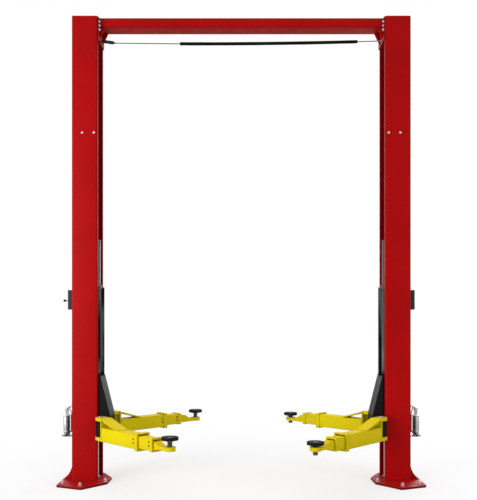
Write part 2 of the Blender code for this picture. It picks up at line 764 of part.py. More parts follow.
def base_tube():
    half = ARM_WIDTH / 2
    inside = half - ARM_WALL
    step = ARM_END - ARM_MOUTH
    outer = box_outline(half, 0, ARM_HEIGHT)
    inner = box_outline(inside, ARM_WALL, ARM_HEIGHT - ARM_WALL, ARM_BEND / 2)
    band = box_outline(half + ARM_MOUTH_SIDE, -ARM_MOUTH_LOW, ARM_HEIGHT + ARM_MOUTH_HIGH)
    ease = ARM_MOUTH_EASE
    opening = box_outline(inside + ease, ARM_WALL - ease, ARM_MOUTH_OPENING, ARM_BEND / 2)
    return ringed([(ARM_START, outer), (step, outer), (step, band), (ARM_END, band), (ARM_END, opening),
                   (step + ARM_WALL, opening), (step + ARM_WALL, inner), (ARM_START, inner)])


def middle_tube():
    half = MIDDLE_WIDTH / 2
    low, high = MIDDLE_LOW, MIDDLE_LOW + MIDDLE_HEIGHT
    proud = MIDDLE_COLLAR_PROUD
    outer = box_outline(half, low, high)
    band = box_outline(half + proud, low - proud, high + proud)
    inner = box_outline(half - ARM_WALL, low + ARM_WALL, high - ARM_WALL, ARM_BEND / 2)
    return ringed([(-MIDDLE_LENGTH, outer), (-MIDDLE_COLLAR, outer), (-MIDDLE_COLLAR, band),
                   (0, band), (0, inner), (-MIDDLE_LENGTH, inner)])


def add_arm_base(name, pivot):
    base = piece(f"arm_{name}_base", base_tube(), ARM_YELLOW, parent=pivot)
    half = ARM_WIDTH / 2
    top = UPPER_EAR_LOW + UPPER_EAR
    start = ARM_START - BITE
    shapes = [prism(ear_outline(ARM_START + BITE), 0, LOWER_EAR)]
    shapes.append(prism(ear_outline(ARM_START + BITE / 2), UPPER_EAR_LOW, top))
    upright = rectangle(-half, BITE / 2, half, top - BITE)
    shapes.append(prism(upright, start, start + ARM_PLATE, "X"))
    back = ARM_START - BITE / 2
    strap = [(back, top), (back, top - STRAP_THICKNESS), (STRAP_END - STRAP_LAP, ARM_HEIGHT - BITE)]
    strap += [(STRAP_END, ARM_HEIGHT - BITE), (STRAP_END, ARM_HEIGHT + BITE)]
    shapes.append(prism(strap, STRAP_INSET - half, half - STRAP_INSET, "Y"))
    fuse(base, shapes)
    cut(base, [drill(PIN_RADIUS + RUN, -PAST, top + PAST)])


def add_tip(name, pivot, pad_reach, crank):
    half = TIP_WIDTH / 2
    low = TIP_LOW + crank
    high = low + TIP_HEIGHT
    peak = TIP_LOW + TIP_CROWN
    profile = [(-TIP_LENGTH, TIP_LOW), (-TIP_CROWN_END, TIP_LOW), (-TIP_SLOPE_END, low), (0, low)]
    profile += [(0, high), (-TIP_SLOPE_END, high), (-TIP_CROWN_END, peak), (-TIP_LENGTH, peak)]
    bar = prism(profile, -half, half, "Y")
    tip = piece(f"arm_{name}_tip", bar, ARM_YELLOW, parent=pivot, at=(pad_reach, 0, 0))
    foot = low - TIP_BOSS_PROUD
    top = high + TIP_BOSS_PROUD
    fuse(tip, [turned([(0, foot), (TIP_BOSS_RADIUS, foot), (TIP_BOSS_RADIUS, top), (0, top)])])
    cut(tip, [drill(SCREW_RADIUS + RUN, -PAST, PAST, 20)])
    return top


def add_pad(name, pivot, pad_reach, under):
    low = under - SCREW_LENGTH
    rubber = under + FLANGE
    top = rubber + PAD_THICKNESS
    edge, wide = PAD_EDGE, PAD_RADIUS
    profile = [(0, low), (SCREW_RADIUS - edge, low), (SCREW_RADIUS, low + edge), (SCREW_RADIUS, under)]
    profile += [(FLANGE_RADIUS, under), (FLANGE_RADIUS, rubber)]
    profile += [(wide - edge, rubber), (wide, rubber + edge), (wide, top - edge), (wide - edge, top)]
    profile += [(wide - PAD_RIM, top)]
    profile += [(wide - PAD_RIM - PAD_DISH, top - PAD_DISH), (0, top - PAD_DISH)]
    piece(f"pad_{name}", turned(profile, 28), RUBBER, 0.8, parent=pivot, at=(pad_reach, 0, 0))


def build():
    for name, side in SIDES.items():
        add_base_plate(name, side)
        add_column(name, side)
        add_rod(name, side)
        add_latch_box(name, side)
        add_rack(name, side)
        carriage = empty(f"carriage_{name}_origin", (0, 0, REST_HEIGHT))
        add_carriage(name, side, carriage)
        add_cylinder(name, side, carriage)
        add_slide_block(f"slide_block_{name}_upper", side, carriage, TOWER_HIGH - SLIDER_HEIGHT)
        add_slide_block(f"slide_block_{name}_lower", side, carriage, TOWER_LOW)
    add_crossbeam()
    add_shutoff()
    add_latch_lever()
    for name, (side, end, pad_x, middle_end, crank, lift) in ARMS.items():
        pin = Vector((side * PIN_X, end * PIN_Y))
        pad = Vector((side * pad_x, end * PAD_Y))
        reach = (pad - pin).length
        turn = math.atan2(pad.y - pin.y, pad.x - pin.x)
        carriage = bpy.data.objects["carriage_left_origin" if side < 0 else "carriage_right_origin"]
        add_pin(name, pin.x, pin.y, carriage)
        pivot = empty(f"pivot_{name}", (pin.x, pin.y, 0), turn, carriage)
        add_arm_base(name, pivot)
        piece(f"arm_{name}_middle", middle_tube(), ARM_YELLOW, parent=pivot, at=(middle_end, 0, 0))
        boss_top = add_tip(name, pivot, reach, crank)
        add_pad(name, pivot, reach, boss_top + lift)


build()
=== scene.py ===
import json
import math
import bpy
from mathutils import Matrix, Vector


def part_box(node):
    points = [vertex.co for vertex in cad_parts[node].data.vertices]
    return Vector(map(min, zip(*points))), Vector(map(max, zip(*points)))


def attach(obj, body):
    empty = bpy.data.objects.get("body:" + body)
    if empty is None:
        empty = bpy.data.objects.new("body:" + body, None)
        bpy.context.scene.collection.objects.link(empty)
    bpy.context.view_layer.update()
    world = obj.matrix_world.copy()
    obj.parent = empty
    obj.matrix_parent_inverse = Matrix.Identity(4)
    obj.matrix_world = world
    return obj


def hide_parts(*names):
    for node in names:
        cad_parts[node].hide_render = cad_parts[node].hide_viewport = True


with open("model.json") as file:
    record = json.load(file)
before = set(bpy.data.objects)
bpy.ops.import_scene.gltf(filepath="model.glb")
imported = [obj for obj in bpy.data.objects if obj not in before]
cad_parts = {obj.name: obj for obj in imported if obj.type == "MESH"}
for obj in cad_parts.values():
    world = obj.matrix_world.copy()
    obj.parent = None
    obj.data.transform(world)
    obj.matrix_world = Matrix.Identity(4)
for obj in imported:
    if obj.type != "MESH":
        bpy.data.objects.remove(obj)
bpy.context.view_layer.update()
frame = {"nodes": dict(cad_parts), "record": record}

from types import SimpleNamespace as Values

import bmesh
import bpy
import numpy as np
from mathutils import Vector

nodes = frame["nodes"]
scene = bpy.context.scene
print("frame loaded:", len(nodes), "nodes")

# where the photograph was taken from, in metres
cameraView = Values(
    place=(0.0, -6.44, 1.483),
    lens=49.6,
    sensor=36,
    shiftX=-0.0056,
    shiftY=0.14,
    reach=100,
)


def placeCamera(view):
    """The photo's camera: level, looking along +Y, with the picture shifted up."""
    camera = bpy.data.objects.new("camera", bpy.data.cameras.new("camera"))
    scene.collection.objects.link(camera)
    camera.location = view.place
    camera.rotation_euler = (math.radians(90), 0, 0)
    camera.data.lens = view.lens
    camera.data.sensor_width = view.sensor
    camera.data.shift_x = view.shiftX
    camera.data.shift_y = view.shiftY
    camera.data.clip_end = view.reach
    scene.camera = camera


placeCamera(cameraView)
print("camera placed")


# node building, shared by the finishes and the studio
def newFinish(name):
    """A material with its node tree and its shader."""
    finish = bpy.data.materials.new(name)
    finish.use_nodes = True
    tree = finish.node_tree
    return finish, tree, tree.nodes["Principled BSDF"]


def feed(tree, socket, value):
    """A link if the value is a socket, else the value set on the socket itself."""
    if isinstance(value, bpy.types.NodeSocket):
        tree.links.new(value, socket)
    elif isinstance(value, tuple) and len(value) == 3 and socket.type == "RGBA":
        socket.default_value = (*value, 1)
    else:
        socket.default_value = value


def feedAll(tree, node, inputs):
    """The node's inputs fed by name or by number."""
    for key, value in inputs.items():
        feed(tree, node.inputs[key], value)


def addNode(tree, kind, inputs=None):
    """A new shader node with its inputs fed."""
    node = tree.nodes.new("ShaderNode" + kind)
    feedAll(tree, node, inputs or {})
    return node


def sums(tree, operation, first, second=0.0, clamp=False):
    """One step of arithmetic on two values."""
    node = addNode(tree, "Math", {0: first, 1: second})
    node.operation, node.use_clamp = operation, clamp
    return node.outputs[0]


def times(tree, first, second):
    """Two masks multiplied, and kept between 0 and 1."""
    return sums(tree, "MULTIPLY", first, second, clamp=True)


def blendColour(tree, factor, first, second):
    """The first colour at 0, the second at 1, and a mix between."""
    node = addNode(tree, "Mix")
    node.data_type = "RGBA"
    feedAll(tree, node, {"Factor": factor, 6: first, 7: second})
    return node.outputs[2]


def laid(tree, colour, tone, mask, strength):
    """The tone laid over the colour through the mask, at no more than the strength."""
    return blendColour(tree, times(tree, mask, strength), colour, tone)


def spread(tree, value, low, high, toLow=0.0, toHigh=1.0):
    """The value's range from low to high is stretched to the new range, and held at its ends."""
    inputs = {"Value": value, "From Min": low, "From Max": high, "To Min": toLow, "To Max": toHigh}
    return addNode(tree, "MapRange", inputs).outputs[0]


def placeOf(tree, stretch=(1, 1, 1)):
    """The point on the part in metres, times the stretch along each axis."""
    coords = addNode(tree, "TexCoord")
    return addNode(tree, "Mapping", {"Scale": stretch, "Vector": coords.outputs["Object"]}).outputs[0]


def grain(tree, place, scale, detail=2.0, rough=0.5):
    """Smooth noise from 0 to 1, with scale lumps a metre."""
    inputs = {"Vector": place, "Scale": scale, "Detail": detail, "Roughness": rough}
    return addNode(tree, "TexNoise", inputs).outputs["Fac"]


def blotches(tree, place, mark, low=0.0, high=1.0):
    """Noise with the mark's scale, detail and roughness; its band is stretched to run from low to high."""
    scale, detail, rough, start, stop = mark
    return spread(tree, grain(tree, place, scale, detail, rough), start, stop, low, high)


def cells(tree, place, scale, output):
    """Random cells, with scale of them a metre."""
    return addNode(tree, "TexVoronoi", {"Vector": place, "Scale": scale}).outputs[output]


def heightOf(tree, place, axis="Z"):
    """One coordinate of a place, its height if nothing else is asked for."""
    return addNode(tree, "SeparateXYZ", {0: place}).outputs[axis]


def raised(tree, height, strength, distance, under=None):
    """The normal tilted by the height's slope, on top of an earlier one if it is given."""
    node = addNode(tree, "Bump", {"Height": height, "Strength": strength, "Distance": distance})
    if under is not None:
        tree.links.new(under, node.inputs["Normal"])
    return node.outputs[0]


def edgeMask(tree, radius, low=0.985, high=0.90):
    """0 on a flat, 1 at an edge: how far the normal turns when it is averaged over the radius."""
    bevel = addNode(tree, "Bevel", {"Radius": radius})
    bevel.samples = 4
    normal = addNode(tree, "NewGeometry").outputs["True Normal"]
    dot = addNode(tree, "VectorMath", {0: bevel.outputs[0], 1: normal})
    dot.operation = "DOT_PRODUCT"
    return spread(tree, dot.outputs["Value"], low, high)


def cornerMask(tree, reach, low=0.92, high=0.35):
    """1 in a corner, 0 in the open: how much of the sky over the surface is covered within reach."""
    hollow = addNode(tree, "AmbientOcclusion", {"Distance": reach})
    hollow.samples = 8
    return spread(tree, hollow.outputs["AO"], low, high)


# plain pale studio: a room that is brighter overhead, one large soft key lamp on the left, and weak
# lamps on the right and behind
studio = Values(
    skyLow=0.20,  # strength at the horizon
    skyHigh=1.40,  # and overhead
    lamps={  # place, size and power
        "key": ((-6.4, -6.0, 2.1), 4.0, 385),
        "fill": ((5.5, -4.0, 2.4), 4.0, 50),
        "back": ((4.5, 6.5, 4.0), 4.0, 150),
    },
    aim=(-0.6, 0.0, 1.4),
    floorSize=60.0,
    floorColour=(0.96, 0.96, 0.96),
    floorBounce=(0.50, 0.50, 0.50),  # what the lift gets back from it
    floorHaze=0.55,  # how far the camera sees it as plain white close to the lift
    floorClear=(1.2, 3.2),  # and it turns all white between these distances
    floorRough=0.9,
    floorShine=0.1,
    mottle=(0.8, 3.0, 0.5, 0.0, 1.0),
    mottleLow=0.94,
    mottleColour=(0.5, 0.5, 0.5),
)


def addLamp(name, place, aim, size, power):
    """A square lamp that looks from its place to its aim."""
    lamp = bpy.data.objects.new(name, bpy.data.lights.new(name, "AREA"))
    scene.collection.objects.link(lamp)
    lamp.data.size = size
    lamp.data.energy = power
    lamp.location = place
    lamp.rotation_euler = (Vector(aim) - Vector(place)).to_track_quat("-Z", "Y").to_euler()


def lightRoom(values):
    """The sky's strength climbs with the height over the horizon, and the camera sees plain white."""
    world = bpy.data.worlds.new("studio")
    scene.world = world
    world.use_nodes = True
    tree = world.node_tree
    tree.nodes.clear()
    rise = heightOf(tree, addNode(tree, "TexCoord").outputs["Generated"])
    sky = spread(tree, rise, 0.0, 1.0, values.skyLow, values.skyHigh)
    light = addNode(tree, "Background", {"Strength": sky})
    white = addNode(tree, "Background", {"Color": (1, 1, 1), "Strength": 1.0})
    path = addNode(tree, "LightPath")
    seen = sums(tree, "MAXIMUM", path.outputs["Is Camera Ray"], path.outputs["Is Glossy Ray"])
    seen = sums(tree, "MAXIMUM", seen, path.outputs["Is Transmission Ray"])
    mix = addNode(tree, "MixShader", {0: seen, 1: light.outputs[0], 2: white.outputs[0]})
    addNode(tree, "OutputWorld", {0: mix.outputs[0]})
    for name, (place, size, power) in values.lamps.items():
        addLamp(name, place, values.aim, size, power)


def layFloor(values):
    """A wide mottled floor that fades to plain white away from the lift."""
    half = values.floorSize / 2
    mesh = bpy.data.meshes.new("floor")
    corners = [(-half, -half, 0), (half, -half, 0), (half, half, 0), (-half, half, 0)]
    mesh.from_pydata(corners, [], [(0, 1, 2, 3)])
    floor = bpy.data.objects.new("floor", mesh)
    scene.collection.objects.link(floor)
    paint, tree, shader = newFinish("paleFloor")
    place = placeOf(tree)
    seen = addNode(tree, "LightPath").outputs["Is Camera Ray"]
    mottle = blotches(tree, place, values.mottle, values.mottleLow)
    tint = blendColour(tree, seen, values.floorBounce, values.floorColour)
    feedAll(tree, shader, {"Base Color": blendColour(tree, mottle, values.mottleColour, tint),
                           "Roughness": values.floorRough, "Specular IOR Level": values.floorShine})
    # the camera sees part of the floor as plain white, and all of it far from the lift, with no horizon
    far = addNode(tree, "VectorMath", {0: place})
    far.operation = "LENGTH"
    near, clear = values.floorClear
    fade = spread(tree, far.outputs["Value"], near, clear, values.floorHaze, 1.0)
    fade = sums(tree, "MULTIPLY", fade, seen)
    white = addNode(tree, "Emission", {"Strength": 1.0})
    mix = addNode(tree, "MixShader", {0: fade, 1: shader.outputs[0], 2: white.outputs[0]})
    tree.links.new(mix.outputs[0], tree.nodes["Material Output"].inputs["Surface"])
    mesh.materials.append(paint)


lightRoom(studio)
layFloor(studio)
scene.view_settings.view_transform = "Standard"
print("studio ready")


# paints: colour that drifts a little, orange peel, rubbed edges, fine scratches and dust near the floor
# each look's grime tone is laid as painted shade in the corners, within its corner reach, and at edges and
# bends at its bend strength; it also darkens the foot
paintLooks = {
    "redPaint": {
        "colour": (0.465, 0.0016, 0.0022), "deep": (0.405, 0.0012, 0.0016), "rub": (0.60, 0.040, 0.042),
        "grime": (0.110, 0.0020, 0.0022), "corner": 0.018, "bend": 0.55,
        "rough": (0.36, 0.50), "shine": 0.08, "peel": 0.12, "dust": 0.050, "dustHeight": 0.05,
    },
    "blackPaint": {
        "colour": (0.0052, 0.0062, 0.0062), "deep": (0.0036, 0.0042, 0.0042), "rub": (0.055, 0.055, 0.053),
        "grime": (0.0020, 0.0020, 0.0020), "corner": 0.030,
        "rough": (0.34, 0.48), "shine": 0.16, "peel": 0.14, "dust": 0.20, "dustHeight": 0.45,
    },
    "yellowPaint": {
        "colour": (0.850, 0.700, 0.0050), "deep": (0.790, 0.620, 0.0040), "rub": (0.95, 0.84, 0.12),
        "grime": (0.340, 0.240, 0.0060), "corner": 0.016, "bend": 0.34,
        "rough": (0.40, 0.56), "shine": 0.06, "peel": 0.12, "dust": 0.04, "dustHeight": 0.30,
    },
    "greyPaint": {
        "colour": (0.026, 0.039, 0.036), "deep": (0.021, 0.032, 0.030), "rub": (0.16, 0.18, 0.17),
        "grime": (0.012, 0.016, 0.014), "corner": 0.020,
        "rough": (0.38, 0.50), "shine": 0.20, "peel": 0.12, "dust": 0.08, "dustHeight": 1.6,
    },
    "barrelPaint": {
        "colour": (0.080, 0.075, 0.070), "deep": (0.052, 0.048, 0.045), "rub": (0.20, 0.19, 0.18),
        "grime": (0.024, 0.022, 0.020), "corner": 0.020,
        "rough": (0.22, 0.34), "shine": 0.5, "peel": 0.08, "dust": 0.10, "dustHeight": 0.6,
    },
}
# the carriages wear the black paint, with painted reflections in light streaks up their towers
paintLooks["carriagePaint"] = {**paintLooks["blackPaint"], "bend": 0.5, "streak": 0.85, "streakFrom": 0.98,
                               "shine": 0.11}
# marks that every paint has; blotches are given by their scale, detail, roughness and the band stretched
paintMarks = Values(
    drift=(1.7, 3.0, 0.5, 0.35, 0.65),
    lap=(1.0, 2.0, 0.5, 0.52, 0.62),
    lapStretch=(9, 9, 0.8),
    lapStrength=0.25,
    scratch=(1.0, 1.0, 0.5, 0.735, 0.76),
    scratchStretches=((420, 420, 6), (8, 380, 380)),
    scratchPlaces=(5.0, 2.0, 0.5, 0.56, 0.66),
    scratchStrength=0.45,
    scratchSink=0.2,
    scratchDepth=0.0003,
    patches=(34.0, 4.0, 0.7, 0.42, 0.62),
    rubReach=0.0016,
    rubStrength=0.55,
    cornerStrength=0.8,
    cornerLeast=0.55,  # share of the painted corner shade between the patches
    # painted shade at edges and bends: its reach, and the band of normal turn over which it fades in
    bendReach=0.012,
    bendBand=(0.999, 0.93),
    # painted reflection streaks, for the carriage towers:
    streak=(1.0, 3.0, 0.5, 0.38, 0.68),
    streakStretch=(24, 24, 2.2),
    streakFade=0.03,
    polished=(0.300, 0.305, 0.310),  # painted reflection: a light grey laid in streaks over the black paint
    footBand=(0.0178, 0.0120),
    footStrength=0.75,
    speck=(60.0, 5.0, 0.65, 0.40, 0.70),
    dustColour=(0.30, 0.27, 0.24),
    smear=(14.0, 3.0, 0.5, 0.3, 0.7),
    smearFromWear=0.25,
    peelScale=420.0,
    peelDepth=0.0006,
)


def mixPaint(name, look, marks=paintMarks):
    """Each mark is a mask from 0 to 1 that blends its own colour over the colour so far."""
    finish, tree, shader = newFinish(name)
    place = placeOf(tree)
    level = heightOf(tree, place)
    drift = blotches(tree, place, marks.drift)
    colour = blendColour(tree, drift, look["colour"], look["deep"])
    # runs and lap marks from the spray gun, drawn out along the height
    lap = blotches(tree, placeOf(tree, marks.lapStretch), marks.lap, 0.0, marks.lapStrength)
    colour = blendColour(tree, lap, colour, look["deep"])
    # hairline scratches in two directions, only here and there
    ways = [placeOf(tree, stretch) for stretch in marks.scratchStretches]
    lines = [blotches(tree, way, marks.scratch) for way in ways]
    where = blotches(tree, place, marks.scratchPlaces)
    scratches = times(tree, sums(tree, "MAXIMUM", *lines), where)
    colour = laid(tree, colour, look["rub"], scratches, marks.scratchStrength)
    # the coat is thin on the edges, and rubbed through in a few places
    patches = blotches(tree, place, marks.patches)
    thin = times(tree, edgeMask(tree, marks.rubReach), patches)
    colour = laid(tree, colour, look["rub"], thin, marks.rubStrength)
    # painted shade: the corners and joints are darkened with the grime tone, more strongly in patches
    hollow = cornerMask(tree, look["corner"])
    corner = times(tree, hollow, spread(tree, patches, 0.0, 1.0, marks.cornerLeast, 1.0))
    colour = laid(tree, colour, look["grime"], corner, marks.cornerStrength)
    if "bend" in look:  # painted shade: edges and bends are darkened with the grime tone
        bend = edgeMask(tree, marks.bendReach, *marks.bendBand)
        colour = laid(tree, colour, look["grime"], bend, look["bend"])
    if "streak" in look:  # painted reflection: light streaks down the height, above a level
        start = look["streakFrom"]
        high = spread(tree, level, start, start + marks.streakFade)
        along = blotches(tree, placeOf(tree, marks.streakStretch), marks.streak)
        colour = laid(tree, colour, marks.polished, times(tree, high, along), look["streak"])
    # everything is darkened with the grime tone below about 18 mm over the floor
    foot = spread(tree, level, *marks.footBand)
    colour = laid(tree, colour, look["grime"], foot, marks.footStrength)
    # dust settles low down and in the grain
    low = spread(tree, level, look["dustHeight"], 0.0)
    speck = blotches(tree, place, marks.speck)
    dust = times(tree, times(tree, low, speck), look["dust"])
    colour = blendColour(tree, dust, colour, marks.dustColour)
    smear = blotches(tree, place, marks.smear, *look["rough"])
    worn = sums(tree, "MULTIPLY", sums(tree, "ADD", dust, scratches), marks.smearFromWear)
    rough = sums(tree, "ADD", smear, worn, clamp=True)
    peel = raised(tree, grain(tree, place, marks.peelScale, 2.0), look["peel"], marks.peelDepth)
    scored = raised(tree, scratches, -marks.scratchSink, marks.scratchDepth, peel)
    feedAll(tree, shader, {"Base Color": colour, "Roughness": rough, "Specular IOR Level": look["shine"],
                           "Normal": scored})
    return finish


# bare and plated metals: base tone, stains, tool marks as rings a metre, and zinc's crystal spangle
metalLooks = {
    "brightSteel": {
        "colour": (0.42, 0.41, 0.40), "stain": (0.22, 0.20, 0.18), "rough": (0.26, 0.42),
        "rings": 900.0, "ringDepth": 0.10,
    },
    "oiledSteel": {
        "colour": (0.135, 0.130, 0.125), "stain": (0.060, 0.056, 0.052), "rough": (0.30, 0.44),
    },
    "chromeRod": {
        "colour": (0.60, 0.57, 0.56), "stain": (0.48, 0.45, 0.43), "rough": (0.10, 0.18),
    },
    "zincPlate": {
        "colour": (0.66, 0.66, 0.67), "stain": (0.46, 0.47, 0.49), "rough": (0.28, 0.42),
        "rings": 700.0, "ringDepth": 0.06, "spangle": 0.25,
    },
    "cableStrand": {
        "colour": (0.20, 0.20, 0.20), "stain": (0.11, 0.11, 0.10), "rough": (0.34, 0.48),
    },
}
metalMarks = Values(
    stain=(22.0, 4.0, 0.6, 0.46, 0.66),
    stainStrength=0.6,
    smear=(60.0, 3.0, 0.5, 0.3, 0.7),
    spangleScale=260.0,
    spangleRough=0.2,
    fineScale=900.0,
    fineStrength=0.05,
    fineDepth=0.0003,
    ringTurn=6.28,  # radians a ring
    ringHeight=0.0002,
)


def mixMetal(name, look, marks=metalMarks):
    """A stained base tone, with smears, spangle and turned rings."""
    finish, tree, shader = newFinish(name)
    place = placeOf(tree)
    stains = blotches(tree, place, marks.stain)
    colour = laid(tree, look["colour"], look["stain"], stains, marks.stainStrength)
    smear = blotches(tree, place, marks.smear, *look["rough"])
    if "spangle" in look:
        tone = heightOf(tree, cells(tree, place, marks.spangleScale, "Color"), "X")
        flake = spread(tree, tone, 0.0, 1.0, 0.0, look["spangle"])
        colour = blendColour(tree, flake, colour, look["stain"])
        smear = sums(tree, "ADD", smear, sums(tree, "MULTIPLY", flake, marks.spangleRough))
    pits = grain(tree, place, marks.fineScale, 2.0)
    fine = raised(tree, pits, marks.fineStrength, marks.fineDepth)
    if "rings" in look:
        turns = sums(tree, "MULTIPLY", heightOf(tree, place), look["rings"] * marks.ringTurn)
        wave = sums(tree, "SINE", turns)
        fine = raised(tree, wave, look["ringDepth"], marks.ringHeight, fine)
    feedAll(tree, shader, {"Base Color": colour, "Roughness": smear, "Metallic": 1.0, "Normal": fine})
    return finish


# rubber, foam and plastic: matt, grainy, with a bloom where they are touched
softLooks = {
    "padRubber": {
        "colour": (0.0048, 0.0056, 0.0050), "bloom": (0.045, 0.046, 0.043), "bloomShare": 0.45,
        "grainScale": 520.0, "grainDepth": 0.35, "rough": (0.62, 0.85), "shine": 0.18,
    },
    "foamSleeve": {
        "colour": (0.0065, 0.0068, 0.0070), "bloom": (0.022, 0.022, 0.022), "bloomShare": 0.35,
        "grainScale": 760.0, "grainDepth": 0.9, "rough": (0.88, 0.97), "shine": 0.08,
    },
    "nylonBlock": {
        "colour": (0.50, 0.48, 0.42), "bloom": (0.20, 0.17, 0.12), "bloomShare": 0.5,
        "grainScale": 240.0, "grainDepth": 0.15, "rough": (0.38, 0.58), "shine": 0.35,
    },
}
softMarks = Values(
    bloom=(30.0, 5.0, 0.65, 0.44, 0.72),
    bloomTilt=(0.2, 1.0),  # from nearly upright faces to level ones
    bloomUnderneath=0.35,
    smear=(45.0, 3.0, 0.5, 0.3, 0.7),
    grainHeight=0.0005,
)


def mixSoft(name, look, marks=softMarks):
    """A base tone, with a bloom that is strongest on top."""
    finish, tree, shader = newFinish(name)
    place = placeOf(tree)
    bloom = blotches(tree, place, marks.bloom)
    facing = heightOf(tree, addNode(tree, "NewGeometry").outputs["Normal"])
    upward = spread(tree, facing, *marks.bloomTilt, marks.bloomUnderneath, 1.0)
    bloom = times(tree, bloom, upward)
    colour = laid(tree, look["colour"], look["bloom"], bloom, look["bloomShare"])
    smear = blotches(tree, place, marks.smear, *look["rough"])
    pits = cells(tree, place, look["grainScale"], "Distance")
    pitted = raised(tree, pits, look["grainDepth"], marks.grainHeight)
    feedAll(tree, shader, {"Base Color": colour, "Roughness": smear, "Specular IOR Level": look["shine"],
                           "Normal": pitted})
    return finish


finishes = {}
for kind, looks in ((mixPaint, paintLooks), (mixMetal, metalLooks), (mixSoft, softLooks)):
    for name, look in looks.items():
        finishes[name] = kind(name, look)
# the slot that each finish fills; a slot's own finish is the first one here that names it
finishSlot = {
    "redPaint": "red_paint",
    "blackPaint": "black_paint",
    "carriagePaint": "black_paint",
    "yellowPaint": "yellow_paint",
    "greyPaint": "grey_paint",
    "brightSteel": "bright_steel",
    "oiledSteel": "bright_steel",
    "cableStrand": "bright_steel",
    "chromeRod": "chrome",
    "barrelPaint": "barrel_paint",
    "zincPlate": "zinc",
    "padRubber": "rubber",
    "nylonBlock": "nylon",
    "foamSleeve": "foam",
}
slotFinish = {slot: finish for finish, slot in reversed(finishSlot.items())}
slotOf = {}
for part in frame["record"]["subparts"]:
    slotOf[part["node"]] = part["material_slot"]
    node = nodes[part["node"]]
    node.data.materials.clear()
    node.data.materials.append(finishes[slotFinish[part["material_slot"]]])
print("finishes mixed:", len(finishes))


# shapes: each is a table of points and blocks of faces, one row of corner numbers a face
def gridFaces(rows, columns):
    """Quads between each row of points and the next; the last column joins the first."""
    i, j = np.meshgrid(np.arange(rows - 1), np.arange(columns), indexing="ij")
    here, below, over = i * columns, (i + 1) * columns, (j + 1) % columns
    return np.stack([here + j, here + over, below + over, below + j], -1).reshape(-1, 4)


def rounded(radius, level, sides):
    """Rows of points round the Z axis from their radii and levels, at even angles, and their quads."""
    turn = np.arange(sides) * 2 * np.pi / sides
    radius, level = radius + 0 * turn, level + 0 * turn
    points = np.stack([radius * np.cos(turn), radius * np.sin(turn), level], -1).reshape(-1, 3)
    return points, [gridFaces(len(radius), sides)]


def joined(shapes):
    """The shapes one after another, with each one's corner numbers moved up by the points before it."""
    points, blocks, start = [], [], 0
    for shapePoints, shapeBlocks in shapes:
        points.append(shapePoints)
        blocks += [block + start for block in shapeBlocks]
        start += len(shapePoints)
    return np.concatenate(points), blocks


def shifted(shape, offset):
    """The shape moved by the offset."""
    return shape[0] + np.array(offset, float), shape[1]


def mirrored(shape):
    """The shape turned over along X, with its faces turned round to point outwards again."""
    return shape[0] * np.array([-1.0, 1.0, 1.0]), [block[:, ::-1] for block in shape[1]]


def spun(points, turn):
    """The points turned about the Z axis."""
    cosine, sine = math.cos(turn), math.sin(turn)
    return points @ np.array([[cosine, -sine, 0], [sine, cosine, 0], [0, 0, 1]]).T


def aimed(shape, direction, place, turn=0.0):
    """The shape spun about its +Z, which is then laid along the direction, with its origin at the place."""
    way = np.array(direction, float)
    way /= np.linalg.norm(way)
    side = np.cross((0.0, 1.0, 0.0) if abs(way[1]) < 0.9 else (1.0, 0.0, 0.0), way)
    side /= np.linalg.norm(side)
    points = spun(shape[0], turn) @ np.array([side, np.cross(way, side), way])
    return points + np.array(place, float), shape[1]


def pinned(shape, pivot, turn):
    """From the arm's own lengthways, crossways and upward directions into the room's."""
    return spun(shape[0], turn) + np.array(pivot, float), shape[1]


def lathe(profile, sides=48):
    """Radius and height pairs carried round the Z axis."""
    profile = np.array(profile, float)
    return rounded(profile[:, :1], profile[:, 1:], sides)


def softened(profile, size, again=0.35, most=0.35):
    """Each corner of a profile is cut back by the size along both its sides, but by no more than a share
    of a side; then the new corners are cut by a share of the size."""
    points = np.array(profile, float)
    for cut in (size, size * again):
        before, here, after = points[:-2], points[1:-1], points[2:]
        cuts = []
        for way in (before - here, after - here):
            length = np.linalg.norm(way, axis=1, keepdims=True)
            cuts.append(here + way / length * np.minimum(cut, length * most))
        points = np.concatenate([points[:1], np.stack(cuts, 1).reshape(-1, 2), points[-1:]])
    return points


def turned(profile, sides, soft=0.0012):
    """A round part from a profile whose corners are softened."""
    return lathe(softened(profile, soft), sides)


def sweep(path, outline, upright=(0.0, 1.0, 0.0), scale=None, twist=None):
    """The outline is carried along the path, square to it, and may grow, shrink or twist on the way."""
    path = np.array(path, float)
    outline = np.array(outline, float)
    along = np.gradient(path, axis=0)
    along /= np.linalg.norm(along, axis=1, keepdims=True)
    side = np.cross(np.broadcast_to(upright, along.shape), along)
    side /= np.linalg.norm(side, axis=1, keepdims=True)
    up = np.cross(along, side)
    size = np.ones(len(path)) if scale is None else np.array(scale, float)
    angle = np.zeros(len(path)) if twist is None else np.array(twist, float)
    cosine, sine = np.cos(angle)[:, None], np.sin(angle)[:, None]
    first = (outline[None, :, 0] * cosine - outline[None, :, 1] * sine) * size[:, None]
    second = (outline[None, :, 0] * sine + outline[None, :, 1] * cosine) * size[:, None]
    points = path[:, None] + first[..., None] * side[:, None] + second[..., None] * up[:, None]
    start = np.arange(len(outline))[None]
    end = start + (len(path) - 1) * len(outline)
    return points.reshape(-1, 3), [gridFaces(len(path), len(outline)), start[:, ::-1], end]


def circle(radius, sides=16):
    """Points at even angles, at the radius from the middle."""
    turn = np.arange(sides) * 2 * np.pi / sides
    return np.stack([radius * np.cos(turn), radius * np.sin(turn)], -1)


